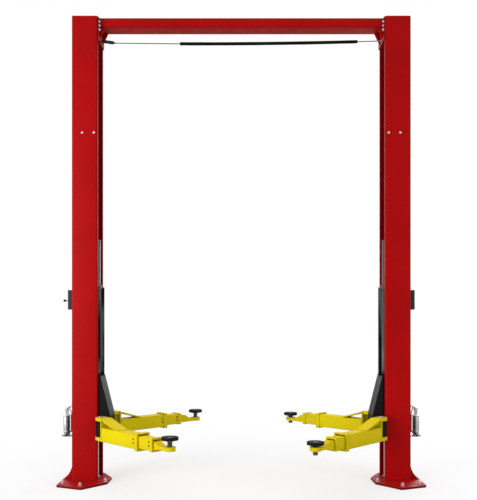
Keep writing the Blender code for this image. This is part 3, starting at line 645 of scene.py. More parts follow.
def slab(outline, low, high, axis="Z"):
    """A flat outline given a thickness along one axis."""
    outline = np.array(outline, float)
    ahead = np.roll(outline, -1, 0)
    area = np.sum(outline[:, 0] * ahead[:, 1] - ahead[:, 0] * outline[:, 1])
    if (area < 0) != (axis == "Y"):
        outline = outline[::-1]
    count = len(outline)
    levels = np.repeat([low, high], count)
    flat = np.concatenate([outline, outline])
    order = {"X": (levels, flat[:, 0], flat[:, 1]), "Y": (flat[:, 0], levels, flat[:, 1]),
             "Z": (flat[:, 0], flat[:, 1], levels)}
    corner = np.arange(count)
    return np.stack(order[axis], -1), [gridFaces(2, count), corner[None, ::-1], corner[None] + count]


def cornerArcs(before, corners, after, radius, steps):
    """Centres of arcs that touch both sides of each corner, and unit ways from each centre to its arc."""
    back, ahead = before - corners, after - corners
    back /= np.linalg.norm(back, axis=1, keepdims=True)
    ahead /= np.linalg.norm(ahead, axis=1, keepdims=True)
    half = np.arccos(np.clip((back * ahead).sum(1), -1, 1)) / 2
    middle = (back + ahead) / np.linalg.norm(back + ahead, axis=1, keepdims=True)
    centre = corners + middle * (radius / np.sin(half))[:, None]
    first = corners + back * (radius / np.tan(half))[:, None] - centre
    last = corners + ahead * (radius / np.tan(half))[:, None] - centre
    start = np.arctan2(first[:, 1], first[:, 0])
    turn = (np.arctan2(last[:, 1], last[:, 0]) - start + np.pi) % (2 * np.pi) - np.pi
    angle = start[:, None] + turn[:, None] * np.linspace(0, 1, steps + 1)
    return centre[:, None], np.stack([np.cos(angle), np.sin(angle)], -1)


def roundedOutline(corners, radius, steps=6):
    """A closed outline whose corners are arcs of the given radius."""
    corners = np.array(corners, float)
    before, after = np.roll(corners, 1, 0), np.roll(corners, -1, 0)
    centre, spoke = cornerArcs(before, corners, after, radius, steps)
    return (centre + radius * spoke).reshape(-1, 2)


def bentLine(corners, radius, steps):
    """An open line whose inner corners are arcs."""
    corners = np.array(corners, float)
    centre, spoke = cornerArcs(corners[:-2], corners[1:-1], corners[2:], radius, steps)
    return np.concatenate([corners[:1], (centre + radius * spoke).reshape(-1, 2), corners[-1:]])


def box2(left, low, right, high):
    """The four corners of an upright box outline."""
    return [(left, low), (right, low), (right, high), (left, high)]


def foldedSheet(corners, wall, bend, steps=8):
    """Cross section of a sheet folded along an open line of corners, with the line as its outer face."""
    corners = np.array(corners, float)
    centre, spoke = cornerArcs(corners[:-2], corners[1:-1], corners[2:], bend + wall, steps)
    outer = (centre + (bend + wall) * spoke).reshape(-1, 2)
    inner = (centre + bend * spoke).reshape(-1, 2)
    ways = np.array([corners[1] - corners[0], corners[-1] - corners[-2]])
    ways /= np.linalg.norm(ways, axis=1, keepdims=True)
    inward = np.stack([-ways[:, 1], ways[:, 0]], -1) * wall
    ends = corners[[0, -1]] + inward
    return np.concatenate([corners[:1], outer, corners[-1:], ends[1:], inner[::-1], ends[:1]])


shapeGap = 1e-6  # points of a computed shape closer than this become one
edgeGap = 1e-7  # and edges shorter than this go
nodeGap = 2e-5  # the same as shapeGap, in a copy of a CAD node
nodeFlat = math.radians(0.5)  # faces of a copy that lean less than this become one


def titled(name):
    """front_left as FrontLeft, for the names of pieces."""
    return "".join(word.title() for word in name.split("_"))


def makePiece(name, shapes, finish, body, stands=(), bevel=0.0, sharp=34):
    """Joins the shapes into one mesh with its faces outwards, and hangs it on its body."""
    points, blocks = joined(shapes)
    mesh = bpy.data.meshes.new(name)
    mesh.from_pydata(points.tolist(), [], [row for block in blocks for row in block.tolist()])
    work = bmesh.new()
    work.from_mesh(mesh)
    bmesh.ops.remove_doubles(work, verts=work.verts, dist=shapeGap)
    bmesh.ops.dissolve_degenerate(work, edges=work.edges, dist=edgeGap)
    bmesh.ops.recalc_face_normals(work, faces=work.faces)
    work.to_mesh(mesh)
    work.free()
    hangPiece(name, mesh, finish, body, stands, bevel, sharp)


def hangPiece(name, mesh, finish, body, stands, bevel=0.0, sharp=34):
    """Gives the mesh its finish and its broken edges, hangs it on its body, and hides the nodes that it
    stands for.
    """
    mesh.materials.clear()
    mesh.materials.append(finishes[finish])
    mesh.shade_smooth()
    mesh.set_sharp_from_angle(angle=math.radians(sharp))
    thing = bpy.data.objects.new(name, mesh)
    scene.collection.objects.link(thing)
    if bevel:
        change = thing.modifiers.new("brokenEdge", "BEVEL")
        change.width = bevel
        change.segments = 2
        change.limit_method = "ANGLE"
        change.angle_limit = math.radians(sharp)
        change.harden_normals = True
    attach(thing, body)
    if stands:
        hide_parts(*stands)


def dressedCopy(node, body, bevel, finish=""):
    """A merged copy of a CAD node with its edges broken, named after the node."""
    title = titled(node)
    name = title[0].lower() + title[1:]
    work = bmesh.new()
    work.from_mesh(nodes[node].data)
    bmesh.ops.remove_doubles(work, verts=work.verts, dist=nodeGap)
    bmesh.ops.dissolve_limit(work, angle_limit=nodeFlat, verts=work.verts, edges=work.edges)
    mesh = bpy.data.meshes.new(name)
    work.to_mesh(mesh)
    work.free()
    hangPiece(name, mesh, finish or slotFinish[slotOf[node]], body, (node,), bevel)


# fasteners and welds, used all over the lift
def hexHead(across, height, crownShare=0.46, lean=30, sides=48):
    """Six flats with their corners turned off by a cone that leans so many degrees, under a flat face."""
    turn = np.arange(sides) * 2 * np.pi / sides
    reach = across / 2 / np.cos((turn + np.pi / 6) % (np.pi / 3) - np.pi / 6)
    flatTop = across * crownShare
    crown = np.full(sides, flatTop)
    shoulder = height - (reach - flatTop) * math.tan(math.radians(lean))
    radius = np.stack([0 * reach, reach, reach, crown, 0 * reach])
    level = np.stack([0 * reach, 0 * reach, shoulder, 0 * reach + height, 0 * reach + height])
    return rounded(radius, level, sides)


def washer(radius, thickness, soft=0.0006, sides=40):
    """A flat disc, turned from its profile with a soft rim."""
    return turned([(0, 0), (radius, 0), (radius, thickness), (0, thickness)], sides, soft)


def threaded(radius, depth, pitch, low, high, sides, perTurn, endRun=1.5, endDrop=1.3):
    """Radius follows a triangle wave that climbs one pitch a turn, with both ends closed and tapered."""
    rows = int((high - low) / pitch * perTurn) + 1
    level = np.linspace(low, high, rows)[:, None]
    turn = np.arange(sides) * 2 * np.pi / sides
    phase = (level / pitch - turn / (2 * np.pi)) % 1.0
    cut = depth * np.abs(2 * phase - 1)
    taper = np.minimum(level - low, high - level) / (endRun * depth)
    size = radius - np.maximum(cut, depth * np.clip(1 - taper, 0, 1) * endDrop)
    size = np.concatenate([0 * size[:1], size, 0 * size[:1]])
    return rounded(size, np.concatenate([level[:1], level, level[-1:]]), sides)


def boltHead(across, head, washerRadius=0.0, washerThickness=0.0):
    """A six sided head, so wide across its flats and so high, on a washer if it has one."""
    parts = [shifted(hexHead(across, head), (0, 0, washerThickness))]
    if washerRadius:
        parts.append(washer(washerRadius, washerThickness))
    return joined(parts)


def nutOnStud(across, nut, washerRadius, washerThickness, stud, standing, thread=(0.12, 0.28)):
    """A washer, the nut on it, and the stud's threaded end standing out of them."""
    parts = [washer(washerRadius, washerThickness)]
    parts.append(shifted(hexHead(across, nut), (0, 0, washerThickness)))
    depth, pitch = stud * thread[0], stud * thread[1]
    top = washerThickness + nut + standing
    parts.append(threaded(stud, depth, pitch, washerThickness, top, 24, 6))
    return joined(parts)


# a cap screw's profile as shares of its radius and height: rim, shoulder, face, and the sunk socket
capShape = ((0, 0), (1, 0), (1, 0.35), (0.82, 0.8), (0.5, 1), (0.46, 1), (0.44, 0.3), (0, 0.3))


def capScrew(radius, height):
    """A button head with a round socket sunk in it."""
    return lathe([(radius * across, height * up) for across, up in capShape], sides=30)


def groove(radius, depth, start, slope, floor):
    """Profile points of a groove: in along a slope, along the floor, and out along a slope."""
    deep, stop = radius - depth, start + slope + floor
    return [(radius, start), (deep, start + slope), (deep, stop), (radius, stop + slope)]


def resampled(path, step):
    """The same line with points a step apart, found along its length."""
    path = np.array(path, float)
    length = np.concatenate([[0], np.cumsum(np.linalg.norm(np.diff(path, axis=0), axis=1))])
    along = np.linspace(0, length[-1], max(int(length[-1] / step), 2) + 1)
    return np.stack([np.interp(along, length, path[:, k]) for k in range(3)], -1), along


weldMake = Values(
    pitch=0.0052,
    ripple=0.16,
    wander=0.06,
    wanderTurns=(61.0, 23.0, 1.0),  # of two waves, and the second one's head start
    endSize=0.4,
    upright=(0.37, 0.61, 0.70),  # a slanting way that no bead runs along
)
bite = 0.001  # how far welded pieces reach into each other, and how far a bead stands off a face
rest = 0.398  # height of the carriages and arms over the floor at rest


def weldBead(path, radius):
    """A round bead along the path; its size swells once a ripple and wanders a little."""
    line, along = resampled(path, weldMake.pitch / 3)
    swell = 1 + weldMake.ripple * np.abs(np.sin(np.pi * along / weldMake.pitch))
    first, second, ahead = weldMake.wanderTurns
    swell += weldMake.wander * np.sin(along * first) * np.sin(along * second + ahead)
    swell[[0, -1]] *= weldMake.endSize
    return sweep(line, circle(radius, sides=8), weldMake.upright, swell)


sides = {"left": -1, "right": 1}


def bothSides(makeOne, *values):
    """The left-hand one is made, and then the right-hand one."""
    for label, side in sides.items():
        makeOne(label, side, *values)


def onSide(shape, side):
    """A shape made for the right-hand side, mirrored if the side is the left one."""
    return mirrored(shape) if side < 0 else shape


# columns: one folded channel each, with lap bolts where the top section is joined on
columnMake = Values(
    innerX=1.316,
    outerX=1.553,
    halfWidth=0.140,
    slotHalf=0.100,
    wall=0.008,
    bend=0.010,
    foot=0.0193,
    top=4.267,
    lapHeight=3.197,
    lapBolts=(1.3475, 1.4545),
    lapBolt=(0.016, 0.0065, 0.0105, 0.0020),  # flats, head, washer's radius and thickness
    spin=9,  # radians that a fastener is turned for each metre of its place
    brokenEdge=0.0012,
)


def makeColumn(label, side, make):
    """One channel, with a bolt head on each lap bolt's place on both side walls."""
    near, far, half, slot = make.innerX, make.outerX, make.halfWidth, make.slotHalf
    corners = [(near, -slot), (near, -half), (far, -half), (far, half), (near, half), (near, slot)]
    section = foldedSheet(corners, make.wall, make.bend)
    channel = onSide(slab(section, make.foot, make.top), side)
    title = label.title()
    makePiece(f"column{title}", [channel], "redPaint", "frame", (f"column_{label}",), make.brokenEdge)
    bolt = boltHead(*make.lapBolt)
    heads = []
    for x in make.lapBolts:
        for face in (-1, 1):
            place = (side * x, face * half, make.lapHeight)
            heads.append(aimed(bolt, (0, face, 0), place, x * make.spin))
    makePiece(f"lapBolts{title}", heads, "zincPlate", "frame")


bothSides(makeColumn, columnMake)
print("columns made")


# base plates: anchors through the plate, a bead round the column's foot and one along each gusset
plateMake = Values(
    thickness=0.019,
    anchors=((1.427, -0.349), (1.2365, -0.190), (1.600, -0.270), (1.600, 0.195), (1.470, 0.235)),
    nut=(0.027, 0.016, 0.017, 0.003, 0.0095, 0.008),  # flats, nut, washer, stud's radius and end
    spin=(11, 7),
    footBead=0.0055,
    footCorner=0.018,
    beadLevel=0.0015,  # above the plate
    gussetY=0.095,
    gussetHalf=0.005,
    gussetReach=0.078,
    gussetHeight=0.146,
    gussetBead=0.0035,
    gussetToe=0.004,  # bare ends of the gusset's two beads
    gussetPeak=0.010,
    brokenEdge=0.0016,
)


def makePlate(label, side, make, column):
    """A plate with its anchors, and a bead round the column's foot and along both sides of each gusset."""
    title = label.title()
    dressedCopy(f"base_plate_{label}", "frame", make.brokenEdge)
    nut = nutOnStud(*make.nut)
    studs = []
    for x, y in make.anchors:
        place = (side * x, y, make.thickness)
        studs.append(aimed(nut, (0, 0, 1), place, x * make.spin[0] + y * make.spin[1]))
    makePiece(f"anchors{title}", studs, "zincPlate", "frame")
    near, far, half, slot = column.innerX, column.outerX, column.halfWidth, column.slotHalf
    level = make.thickness + make.beadLevel
    foot = roundedOutline(box2(near, -half, far, half), make.footCorner, 5)
    # the bead starts and stops at the channel's mouth
    turn = np.arctan2(foot[:, 1], -(foot[:, 0] - (near + far) / 2))
    foot = foot[np.argsort((turn + 2 * np.pi) % (2 * np.pi))]
    path = np.concatenate([[(near, slot)], foot, [(near, -slot)]])
    path = np.column_stack([path, np.full(len(path), level)])
    beads = [onSide(weldBead(path, make.footBead), side)]
    wall, toe = far + bite, far + make.gussetReach - make.gussetToe
    peak = level + make.gussetHeight - make.gussetPeak
    for middle in (-make.gussetY, make.gussetY):
        for y in (middle - make.gussetHalf, middle + make.gussetHalf):
            for x, z in ((toe, level), (wall, peak)):
                seam = [(wall, y, level), (x, y, z)]
                beads.append(onSide(weldBead(seam, make.gussetBead), side))
    makePiece(f"footWelds{title}", beads, "redPaint", "frame")


bothSides(makePlate, plateMake, columnMake)
print("base plates made")


# overhead beam: a folded trough between two end plates, with a web under each end
beamMake = Values(
    top=4.267,
    height=0.082,
    halfWidth=0.086,
    wall=0.006,
    bend=0.006,
    endX=1.3157,
    plate=0.008,
    plateHalf=0.132,
    plateHeight=0.215,
    plateCorner=0.012,
    webReach=0.052,
    webDrop=0.112,
    webInset=0.010,
    webThickness=0.008,
    webTuck=0.002,  # how far the webs reach up into the trough's floor
    boltY=0.112,
    boltHeights=(4.222, 4.186, 4.149),
    bolt=(0.022, 0.012, 0.0145, 0.0022),
    spin=13,
    bead=0.0035,
    seamEnds=(0.003, 0.004, 0.006),  # the trough's bead: under its rim, over its bend and beside it
    webBead=0.0028,
    webSeamEnds=(0.004, 0.012),
    brokenEdge=0.0010,
)


def makeBeam(make):
    """A folded trough, with a plate, two webs, beads and the bolts to the column at each end."""
    low, top, half = make.top - make.height, make.top, make.halfWidth
    end, wide = make.endX, make.plateHalf
    face = end - make.plate
    corners = [(-half, top), (-half, low), (half, low), (half, top)]
    parts = [slab(foldedSheet(corners, make.wall, make.bend), -face, face, "X")]
    plate = roundedOutline(box2(-wide, top - make.plateHeight, wide, top), make.plateCorner)
    root = low + make.webTuck
    web = [(face + bite, root), (face - make.webReach, root), (face + bite, low - make.webDrop)]
    beads, bolts = [], []
    bolt = boltHead(*make.bolt)
    near, under = face - bite, low - bite
    rim, over, beside = make.seamEnds
    trough = [(near, -half, top - rim), (near, -half, low + over), (near, -half + beside, under),
              (near, half - beside, under), (near, half, low + over), (near, half, top - rim)]
    first, last = make.webSeamEnds
    for side in (-1, 1):
        parts.append(onSide(slab(plate, face, end, "X"), side))
        beads.append(onSide(weldBead(trough, make.bead), side))
        for start in (make.webInset - half, half - make.webInset - make.webThickness):
            stop = start + make.webThickness
            parts.append(onSide(slab(web, start, stop, "Y"), side))
            for y in (start, stop):
                seam = [(near, y, low - first), (near, y, low - make.webDrop + last)]
                beads.append(onSide(weldBead(seam, make.webBead), side))
        for y in (-make.boltY, make.boltY):
            for z in make.boltHeights:
                bolts.append(aimed(bolt, (-side, 0, 0), (side * face, y, z), z * make.spin))
    makePiece("overheadBeam", parts, "redPaint", "frame", ("crossbeam",), make.brokenEdge)
    makePiece("beamWelds", beads, "redPaint", "frame")
    makePiece("beamBolts", bolts, "zincPlate", "frame")


makeBeam(beamMake)
print("overhead beam made")


# overhead shut-off: a stranded cable from the switch to the beam's far end plate, in a foam sleeve
shutoffMake = Values(
    lowHeight=4.0646,
    lowX=-0.3525,
    rise=0.00972,
    cableStart=-1.1749,
    cableEnd=1.3054,
    cableRadius=0.0046,
    cableSides=18,
    strands=3,  # wires that show on each half of the cable
    strandDepth=0.20,
    layLength=0.060,
    cableStep=0.0035,
    sleeveStart=-0.573,
    sleeveEnd=1.085,
    sleeveRadius=0.0145,
    sleeveLumps=0.018,
    lumpTurns=(19.0, 7.3, 0.6),
    sleeveEndSize=0.86,
    sleeveStep=0.006,
    switchWall=1.3074,
    switchEnd=1.1765,
    switchLean=0.018,
    switchRadius=0.0150,
    stemRadius=0.0072,
    stemLength=0.0244,
    switchEnds=(0.002, 0.003, 0.020, 0.012),  # foot and shoulder, and its nose from the tip back
    switchGroove=(0.0021, 0.030, 0.002, 0.004),  # depth, start, slope and floor
    earHalf=0.016,
    earReach=0.046,
    earDrop=(0.032, 0.009, 0.014),  # its foot, its bend and its tip, under the switch
    earSheet=0.0025,
    earBend=0.002,
    ferruleRadius=0.0062,
    ferruleLength=0.026,
    ferruleStep=0.003,
    ferruleNose=0.55,
    anchor=(0.017, 0.006, 0.012, 0.0018),
)


def sagLine(start, end, step, make):
    """Height grows with the square of the distance from the lowest point."""
    x = np.linspace(start, end, int(abs(end - start) / step) + 2)
    return np.stack([x, 0 * x, make.lowHeight + make.rise * (x - make.lowX) ** 2], -1)


def makeShutoff(make):
    """The cable as a twisted six-lobed rope, the foam sleeve over most of it, the switch and the anchor."""
    line = sagLine(make.cableStart, make.cableEnd, make.cableStep, make)
    around = np.arange(make.cableSides) * 2 * np.pi / make.cableSides
    depth = make.strandDepth
    lobes = make.cableRadius * (1 - depth + depth * np.abs(np.cos(make.strands * around)))
    strand = np.stack([lobes * np.cos(around), lobes * np.sin(around)], -1)
    lay = (line[:, 0] - line[0, 0]) / make.layLength * 2 * np.pi
    makePiece("shutoffCable", [sweep(line, strand, twist=lay)], "cableStrand", "frame",
              ("shutoff_cable",), sharp=60)
    line = sagLine(make.sleeveStart, make.sleeveEnd, make.sleeveStep, make)
    first, second, ahead = make.lumpTurns
    lumps = 1 + make.sleeveLumps * np.sin(line[:, 0] * first) * np.sin(line[:, 0] * second + ahead)
    lumps[[0, -1]] *= make.sleeveEndSize
    foam = sweep(line, circle(make.sleeveRadius, sides=28), scale=lumps)
    makePiece("shutoffSleeve", [foam], "foamSleeve", "frame", ("shutoff_sleeve",))
    end = np.array([-make.switchEnd, 0, sagLine(-make.switchEnd, 0, 1, make)[0, 2]])
    start = np.array([-make.switchWall, 0, end[2] + make.switchLean])
    length = float(np.linalg.norm(end - start))
    thin, thick, stem = make.stemRadius, make.switchRadius, make.stemLength
    depth, ahead, slope, floor = make.switchGroove
    heel, shoulder, slant, neck = make.switchEnds
    profile = [(0, heel), (thin, heel), (thin, stem), (thick, stem + shoulder)]
    profile += groove(thick, depth, stem + ahead, slope, floor)
    profile += [(thick, length - slant), (thin, length - neck), (thin, length), (0, length)]
    body = aimed(turned(profile, sides=36), end - start, start)
    makePiece("shutoffSwitch", [body], "greyPaint", "frame", ("shutoff_switch",))
    wall, half = make.switchWall, make.earHalf
    # an angle bracket under the switch
    foot, bend, tip = [start[2] - drop for drop in make.earDrop]
    fold = [(-wall, foot), (-wall, bend), (-wall + make.earReach, tip)]
    ear = slab(foldedSheet(fold, make.earSheet, make.earBend), -half, half, "Y")
    makePiece("switchEar", [ear], "redPaint", "frame", bevel=0.0006)
    end = make.cableEnd
    tail = sagLine(end - make.ferruleLength, end, make.ferruleStep, make)
    swell = np.full(len(tail), make.ferruleRadius)
    swell[0] *= make.ferruleNose
    ferrule = sweep(tail, circle(1.0, sides=24), scale=swell)
    plateFace = beamMake.endX - beamMake.plate
    anchor = aimed(boltHead(*make.anchor), (-1, 0, 0), (plateFace, 0, tail[-1, 2]))
    makePiece("cableAnchor", [ferrule, anchor], "zincPlate", "frame")


makeShutoff(shutoffMake)
print("shut-off made")


# latch covers: a folded box on each column's outside with four screws, and a release knob on the left one
latchMake = Values(
    outerX=1.6053,
    low=1.580,
    high=1.760,
    half=0.070,
    screwInsetY=0.014,
    screwInsetZ=0.016,
    screw=(0.0052, 0.0030),
    spin=5,
    pivotX=1.583,
    pivotZ=1.664,
    knobX=1.650,
    knobRadius=0.0125,
    rodRadius=0.0040,
    pinRadius=0.0060,
    knobNeck=(0.5, 1.25, 0.35),  # radius, reach behind the ball and angle cut off it, in ball radii
    pinHalf=0.0672,
    hubRadius=0.0102,
    hubHalf=0.012,
    brokenEdge=0.0009,
)


def makeLatch(label, side, make):
    """One cover, with a screw near each of its corners."""
    title = label.title()
    dressedCopy(f"latch_box_{label}", "frame", make.brokenEdge)
    screw = capScrew(*make.screw)
    screws = []
    for y in (-make.half + make.screwInsetY, make.half - make.screwInsetY):
        for z in (make.low + make.screwInsetZ, make.high - make.screwInsetZ):
            place = (side * make.outerX, y, z)
            screws.append(aimed(screw, (side, 0, 0), place, z * make.spin))
    makePiece(f"latchScrews{title}", screws, "zincPlate", "frame")


def makeKnob(make):
    """A ball on a straight rod, turned about the rod, and the pin and hub that they swing on."""
    reach, radius = make.knobX - make.pivotX, make.knobRadius
    neck, behind, cut = make.knobNeck
    bulge = np.linspace(-np.pi / 2 + cut, np.pi / 2, 22)
    ball = np.stack([radius * np.cos(bulge), reach + radius * np.sin(bulge)], -1)
    collar = [(0, reach - radius * behind), (radius * neck, reach - radius * behind)]
    knob = lathe(np.concatenate([collar, ball, [(0, reach + radius)]]), sides=36)
    rod = lathe([(0, 0), (make.rodRadius, 0), (make.rodRadius, reach), (0, reach)], sides=20)
    pivot = (-make.pivotX, 0, make.pivotZ)
    parts = [aimed(knob, (-1, 0, 0), pivot), aimed(rod, (-1, 0, 0), pivot)]
    # the pin, and the hub round its middle
    for thick, half in ((make.pinRadius, make.pinHalf), (make.hubRadius, make.hubHalf)):
        profile = [(0, -half), (thick, -half), (thick, half), (0, half)]
        parts.append(aimed(turned(profile, sides=24, soft=0.001), (0, 1, 0), pivot))
    makePiece("releaseKnob", parts, "blackPaint", "latch_lever", ("latch_lever",))


bothSides(makeLatch, latchMake)
makeKnob(latchMake)
print("latch covers made")


# adapter racks: a folded tray with two bent wires, and the two height adapters that stand in it
rackMake = Values(
    near=1.5533,
    half=0.068,
    sheet=0.004,
    trayZ=0.402,
    trayReach=0.108,
    lip=0.014,
    topZ=0.694,
    hookRadius=0.031,
    hookTurn=(90, -40),  # degrees, from the tray's back over the top and down
    hookOut=0.033,
    hookZ=0.652,
    wireRadius=0.0062,
    dip=0.0004,  # the lower half of each wire is dipped in rubber
    wireY=0.058,
    stemOut=0.047,
    stemHigh=0.595,
    stemLow=0.440,
    footOut=0.082,
    stemBend=0.014,
    bead=0.0035,
    beadHalf=0.008,
    adapterX=1.630,
    adapterY=0.030,
    adapterGap=0.0003,  # over the tray
    adapterRadius=0.0235,
    adapterFootRadius=0.0205,
    adapterFoot=0.034,
    adapterBody=0.190,
    adapterShoulder=0.003,
    grooves=(0.046, 0.176),  # where they start, over the adapter's foot
    groove=(0.0016, 0.0015, 0.003),  # depth, slope and floor
    stemRadius=0.0085,
    stem=0.056,
    headRadius=0.0120,
    head=0.018,
    brokenEdge=0.0008,
)


def makeRack(label, side, make):
    """A folded tray, two wires welded to its back, and two adapters turned from one profile."""
    title, sheet = label.title(), make.sheet
    near, far, floor = make.near, make.near + make.trayReach, make.trayZ
    fold = [(near, make.topZ), (near, floor), (far, floor), (far, floor + make.lip)]
    tray = onSide(slab(foldedSheet(fold, sheet, sheet), -make.half, make.half, "Y"), side)
    angle = np.radians(np.linspace(*make.hookTurn, 22))
    loop = np.stack([near + make.hookOut + make.hookRadius * np.cos(angle),
                     make.hookZ + make.hookRadius * np.sin(angle)], -1)
    stem, hookTop = near + make.stemOut, make.hookZ + make.hookRadius
    tail = bentLine([tuple(loop[-1]), (stem, make.stemHigh), (stem, make.stemLow),
                     (near + make.footOut, floor + sheet / 2)], make.stemBend, 7)
    split = len(tail) // 2
    bright = np.concatenate([[(near + sheet / 2, hookTop)], loop, tail[1:split]])
    hooks, stems = [], []
    for y in (-make.wireY, make.wireY):
        for wire, radius, kind in ((bright, make.wireRadius, hooks),
                                   (tail[split - 1:], make.wireRadius + make.dip, stems)):
            line = np.stack([wire[:, 0], np.full(len(wire), y), wire[:, 1]], -1)
            kind.append(onSide(sweep(line, circle(radius, sides=18)), side))
        bead = [(near + sheet, y + run, hookTop) for run in (-make.beadHalf, make.beadHalf)]
        hooks.append(onSide(weldBead(bead, make.bead), side))
    makePiece(f"rackTray{title}", [tray], "zincPlate", "frame", (f"rack_{label}",), make.brokenEdge)
    makePiece(f"rackHooks{title}", hooks, "zincPlate", "frame")
    makePiece(f"rackStems{title}", stems, "padRubber", "frame")
    base = floor + sheet + make.adapterGap
    foot, top = base + make.adapterFoot, base + make.adapterBody
    neck = top + make.stem
    head = neck + make.head
    toe, body = make.adapterFootRadius, make.adapterRadius
    thin, cap = make.stemRadius, make.headRadius
    depth, slope, bottom = make.groove
    profile = [(0, base), (toe, base), (toe, foot), (body, foot + make.adapterShoulder)]
    for start in make.grooves:
        profile += groove(body, depth, base + start, slope, bottom)
    profile += [(body, top), (thin, top), (thin, neck), (cap, neck), (cap, head), (0, head)]
    adapter = turned(profile, sides=44)
    for place, y in (("front", -make.adapterY), ("rear", make.adapterY)):
        standing = [shifted(adapter, (side * make.adapterX, y, 0))]
        makePiece(f"adapter{title}{place.title()}", standing, "zincPlate", "frame",
                  (f"adapter_{label}_{place}",))


bothSides(makeRack, rackMake)
print("racks made")


# hydraulics: the chromed rod stands on the plate, and the barrel rides up with the carriage
ramMake = Values(
    x=1.355,
    rodRadius=0.023,
    rodFootRadius=0.036,
    rodFoot=0.012,
    barrelRadius=0.040,
    shelf=1.3933,
    collarRadius=0.052,
    collar=0.016,
    glandHeight=0.034,
    neck=0.0240,
    bead=0.003,
    glandGroove=(0.0022, 0.001, 0.003),  # depth, slope and floor
    topGroove=(0.002, 0.002, 0.003),
    topGrooveDown=0.022,
    lip=0.003,
    bore=0.012,  # depth of the open neck, and radius of the dimple in the top
    dimple=0.002,
    port=(0.019, 0.010),
    portSunk=0.002,
    portHeight=0.045,  # above the gland
)


def nodeHeights(name):
    """The lowest and the highest level of a CAD node."""
    low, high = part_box(name)
    return low.z, high.z


def makeRam(label, side, make):
    """The rod and the barrel, each turned from its profile, with a bead and a port on the barrel."""
    title, middle = label.title(), (side * make.x, 0, 0)
    low, high = nodeHeights(f"rod_{label}")
    thin, foot, step = make.rodRadius, make.rodFootRadius, low + make.rodFoot
    profile = [(0, low), (foot, low), (foot, step), (thin, step), (thin, high), (0, high)]
    rod = shifted(turned(profile, sides=48, soft=0.0015), middle)
    makePiece(f"ramRod{title}", [rod], "chromeRod", "frame", (f"rod_{label}",))
    low, high = nodeHeights(f"cylinder_{label}")
    shelf, gland = rest + make.shelf, low + make.glandHeight
    ledge = shelf + make.collar
    neck, out, collar = make.neck, make.barrelRadius, make.collarRadius
    bore, lip, dimple = make.bore, make.lip, make.dimple
    profile = [(neck, low + bore), (neck, low), (out - lip, low), (out, low + lip)]
    depth, slope, floor = make.glandGroove
    profile += groove(out, depth, gland, slope, floor)
    profile += [(out, shelf), (collar, shelf), (collar, ledge), (out, ledge)]
    depth, slope, floor = make.topGroove
    profile += groove(out, depth, high - make.topGrooveDown, slope, floor)
    profile += [(out, high), (bore, high), (bore, high - dimple), (0, high - dimple)]
    barrel = turned(profile, sides=56)
    ring, reach = np.linspace(0, 2 * np.pi, 64), out + bite / 2
    seam = np.stack([reach * np.cos(ring), reach * np.sin(ring), np.full(len(ring), ledge + bite)], -1)
    place = (0, out - make.portSunk, gland + make.portHeight)
    port = aimed(boltHead(*make.port), (0, 1, 0), place)
    parts = [shifted(shape, middle) for shape in (barrel, weldBead(seam, make.bead), port)]
    makePiece(f"ramBarrel{title}", parts, "barrelPaint", f"carriage_{label}", (f"cylinder_{label}",))


bothSides(makeRam, ramMake)
print("hydraulics made")


# carriages: the welded frame that runs in each column, its plastic blocks, its beads and its arm pins
carriageMake = Values(
    towerInner=1.297,
    towerHalf=0.093,
    cheekInner=1.205,
    cheekOuter=1.306,
    cheekHalf=0.112,
    cheekTop=0.566,
    cheekFoot=0.046,
    yokeHigh=0.161,
    bead=0.0042,
    pinRadius=0.022,
    pinHeadRadius=0.030,
    pinHead=0.010,
    pinSeat=0.0006,  # the head's top face lies this far under the node's
    pinDimple=(0.0126, 0.0120, 0.002),  # its radii at the face and at the bottom, and its depth
    pinTip=0.002,
    topSeam=(0.004, 0.002, 0.003),
    backSeamEnds=(0.010, 0.004),
    yokeSeamEnds=(0.020, 0.016),
    brokenEdge=0.0018,
    blockEdge=0.0025,
)


def makeCarriage(label, side, make):
    """Copies of the frame and its blocks, beads where its sheets meet, and the turned pins."""
    title, body = label.title(), f"carriage_{label}"
    dressedCopy(f"carriage_{label}", body, make.brokenEdge, "carriagePaint")
    for level in ("upper", "lower"):
        dressedCopy(f"slide_block_{label}_{level}", body, make.blockEdge)
    inner, outer = make.towerInner + bite, make.cheekOuter + bite
    top, foot, yoke = [rest + level for level in (make.cheekTop, make.cheekFoot, make.yokeHigh)]
    beads = []
    over, step, inset = make.topSeam
    lower, upper = make.backSeamEnds
    front, back = make.yokeSeamEnds
    for face in (-1, 1):
        wide, half, out = face * make.cheekHalf, face * make.towerHalf, face * bite
        # over the cheek's top, up its back edge, and along the yoke
        beads.append([(inner, half, top + over), (inner, half + face * step, top + step),
                      (inner, wide - face * inset, top + bite)])
        beads.append([(outer, half + out, foot + lower), (outer, half + out, top - upper)])
        beads.append([(make.cheekInner + front, wide + out, yoke + bite),
                      (make.cheekOuter - back, wide + out, yoke + bite)])
    welds = [onSide(weldBead(bead, make.bead), side) for bead in beads]
    makePiece(f"carriageWelds{title}", welds, "carriagePaint", body)
    for end in ("front", "rear"):
        name = f"pin_{end}_{label}"
        low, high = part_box(name)
        middle, thin, wide = (low + high) / 2, make.pinRadius, make.pinHeadRadius
        neck, face, tip = high.z - make.pinHead, high.z - make.pinSeat, make.pinTip
        rim, floor, depth = make.pinDimple
        profile = [(0, low.z), (thin - tip, low.z), (thin, low.z + tip), (thin, neck), (wide, neck)]
        profile += [(wide, face), (rim, face), (floor, face - depth), (0, face - depth)]
        pin = shifted(turned(profile, sides=48), (middle.x, middle.y, 0))
        makePiece(f"armPin{end.title()}{title}", [pin], "brightSteel", body, (name,))


bothSides(makeCarriage, carriageMake)
print("carriages made")


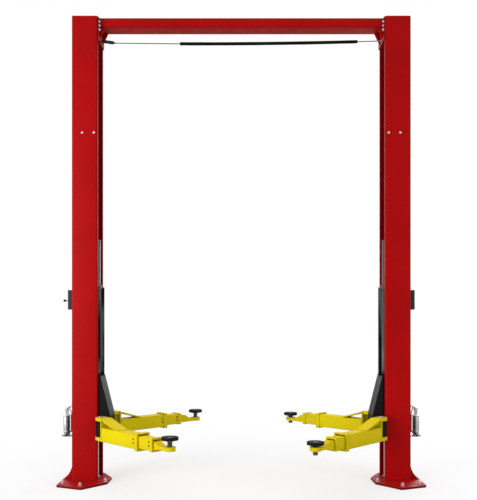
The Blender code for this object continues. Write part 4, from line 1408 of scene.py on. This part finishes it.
# arms: three stages that slide in each other, with side screws, beads, and a screwed pad at the end
armMake = Values(
    pinX=1.270,
    pinY=0.200,
    start=0.085,
    end=0.635,
    mouth=0.036,
    half=0.061,
    height=0.123,
    earRadius=0.050,
    upperEar=0.176,
    earTop=0.204,
    lowerEar=0.031,
    strapEnd=0.330,
    bead=0.0038,
    plateSeam=(0.009, 0.006),  # seams: insets from the stage's start, its faces and the ears' rims
    upperEarSeam=(0.004, 0.002, 0.030),
    lowerEarSeam=(0.005, 0.004),
    strapSeam=(0.125, 0.028, 0.020),
    strapInset=0.006,
    mouthSeam=(0.008, 0.004),
    screwAlong=0.576,
    screwHeights=(0.051, 0.083),
    screw=(0.0075, 0.0032),
    spin=(7, 9),  # of the first and the second stage's screws
    middleHalf=0.049,
    middleEnds={"front_left": 0.825, "rear_left": 0.820, "front_right": 0.765, "rear_right": 0.820},
    middleScrewBack=0.050,
    stop=(0.013, 0.006),
    stopWay=(0.86, 1.0),
    brokenEdge=0.0012,
)
padMake = Values(
    radius=0.070,
    thickness=0.026,
    rim=0.013,
    edge=((0.0, 0.003), (0.0006, 0.0012), (0.0025, 0.0002), (0.004, 0.0)),  # insets and drops
    lowerEdge=0.0025,
    dish=0.003,
    dishFrom=0.005,
    dishSlope=0.003,
    dishRows=22,
    ribs=30,
    ribDepth=0.0016,
    ribWidth=1.6,
    ribsDown=0.002,  # they reach so far down the rim
    ribFade=0.42,  # share of the rim over which the ribs fade out
    flangeRadius=0.038,
    flange=0.010,
    cup=(0.006, 0.005, 0.0002),  # its slope in and up, and how far it reaches into the rubber
    thread=(0.0215, 0.0022, 0.0060),  # radius, depth and pitch
    screwLength=0.073,
    ringPitch=0.0075,  # rings moulded in the dish
    ringDepth=0.0005,
    ringStop=0.004,
    discRadius=0.020,  # the screw's end, which shows in the dish
    discSunk=(0.0040, 0.0022),  # its back and its face, under the pad's top
    socket=(0.008, 0.0065, 0.0038),  # radii at its mouth and floor, and the floor under the pad's top
    columns=120,
)


def makeArm(name, side, end, make):
    """Copies of the three stages, then beads and screws placed along the arm and turned to its angle."""
    title = titled(name)
    pivot = (side * make.pinX, end * make.pinY, rest)
    low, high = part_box(f"pad_{name}")
    pad = (low + high) / 2
    turn = math.atan2(pad.y - pivot[1], pad.x - pivot[0])
    stage = {"base": f"arm_{name}", "middle": f"middle_{name}", "tip": f"tip_{name}"}
    for part, body in stage.items():
        dressedCopy(f"arm_{name}_{part}", body, make.brokenEdge)
    beads = []
    start, half, tall, ear = make.start, make.half, make.height, make.earRadius
    upper, lower, strapEnd = make.upperEar, make.lowerEar + bite, make.strapEnd
    seat, edge, inset = tall + bite, make.end - make.mouth - bite / 2, make.strapInset
    # the end plate's side, the upper ear, the strap's side, and the mouth's ring
    over, foot = make.plateSeam
    before, outside, inside = make.upperEarSeam
    bend, drop, run = make.strapSeam
    low, down = make.mouthSeam
    for face in (-1, 1):
        plate, strap, mouth = face * (half + bite / 2), face * (half - inset), face * (half + bite)
        beads.append([(start + over, plate, foot), (start + over, plate, tall)])
        beads.append([(start - before, face * (ear - gap), upper) for gap in (outside, inside)])
        beads.append([(bend, strap, make.earTop - drop), (strapEnd - run, strap, seat),
                      (strapEnd, strap, seat)])
        beads.append([(edge, mouth, low), (edge, mouth, tall - down)])
    # across the strap's end, and the lower ear
    beads.append([(strapEnd + bite, inset - half, seat), (strapEnd + bite, half - inset, seat)])
    before, gap = make.lowerEarSeam
    beads.append([(start - before, gap - ear, lower), (start - before, ear - gap, lower)])
    welds = [pinned(weldBead(path, make.bead), pivot, turn) for path in beads]
    makePiece(f"armWelds{title}", welds, "yellowPaint", stage["base"])
    screw = capScrew(*make.screw)
    outer, inner = [], []
    # all four arms are one part turned end for end, with the screws on its right-hand side only
    back = make.middleEnds[name] - make.middleScrewBack
    rows = ((outer, make.screwAlong, half), (inner, back, make.middleHalf))
    for z in make.screwHeights:
        for (screws, along, out), spin in zip(rows, make.spin):
            placed = aimed(screw, (0, -1, 0), (along, -out, z), z * spin)
            screws.append(pinned(placed, pivot, turn))
    makePiece(f"armScrews{title}", outer, "blackPaint", stage["base"])
    makePiece(f"middleScrews{title}", inner, "blackPaint", stage["middle"])
    # a small bright stop bolt in the lower ear's rim, on the outer side
    angle = math.atan2(end * make.stopWay[1], side * make.stopWay[0]) - turn
    way = (math.cos(angle), math.sin(angle), 0)
    stop = aimed(boltHead(*make.stop), way, (ear * way[0], ear * way[1], make.lowerEar / 2))
    makePiece(f"earBolt{title}", [pinned(stop, pivot, turn)], "zincPlate", stage["base"])
    return pad, high.z


def makePad(name, centre, top, make):
    """A ribbed rubber disc turned from its profile, on a steel cup over the threaded screw."""
    title, body, place = titled(name), f"pad_{name}", (centre.x, centre.y, 0)
    wide, rim, columns = make.radius, make.rim, make.columns
    under = top - make.thickness
    inset, drop = np.array(make.edge).T
    foot = make.lowerEdge
    across = np.linspace(wide - make.dishFrom, 0.0, make.dishRows)
    sink = make.dish * np.clip((wide - rim - across) / make.dishSlope, 0, 1)
    radius = np.concatenate([[0.0, wide - foot, wide], wide - inset, across])
    height = np.concatenate([[under, under, under + foot], top - drop, top - sink])
    turn = np.arange(columns) * 2 * np.pi / columns
    # radial ribs on the rim, and rings in the dish
    onRim = np.exp(-((radius - (wide - rim / 2)) / (rim * make.ribFade)) ** 4)
    onRim *= height > top - make.ribsDown
    valley = np.clip(np.cos(make.ribs * turn) * make.ribWidth, 0, 1)
    inDish = (radius < wide - rim - make.ringStop) * (height > under + make.thickness / 2)
    rings = make.ringDepth * (1 + np.cos(radius * 2 * np.pi / make.ringPitch)) * inDish
    deep = height[:, None] - make.ribDepth * onRim[:, None] * valley[None] - rings[:, None]
    rubber = rounded(radius[:, None], deep, columns)
    makePiece(f"padRubber{title}", [shifted(rubber, place)], "padRubber", body, (f"pad_{name}",),
              sharp=50)
    cup, base = make.flangeRadius, under - make.flange
    slope, rise, into = make.cup
    seat = under + into
    profile = [(0, base), (cup - slope, base), (cup, base + rise), (cup, seat), (0, seat)]
    steel = turned(profile, sides=48, soft=0.001)
    makePiece(f"padCup{title}", [shifted(steel, place)], "brightSteel", body)
    disc, (back, face) = make.discRadius, [top - sunk for sunk in make.discSunk]
    mouth, well, depth = make.socket
    floor = top - depth
    profile = [(0, back), (disc, back), (disc, face), (mouth, face), (well, floor), (0, floor)]
    button = turned(profile, sides=36, soft=0.0005)
    stud = threaded(*make.thread, base - make.screwLength, base + bite, 40, 8)
    screw = [shifted(stud, place), shifted(button, place)]
    makePiece(f"padScrew{title}", screw, "oiledSteel", body, sharp=60)


armSides = {"front_left": (-1, -1), "rear_left": (-1, 1), "front_right": (1, -1), "rear_right": (1, 1)}
for name, (side, end) in armSides.items():
    centre, top = makeArm(name, side, end, armMake)
    makePad(name, centre, top, padMake)
print("arms and pads made")
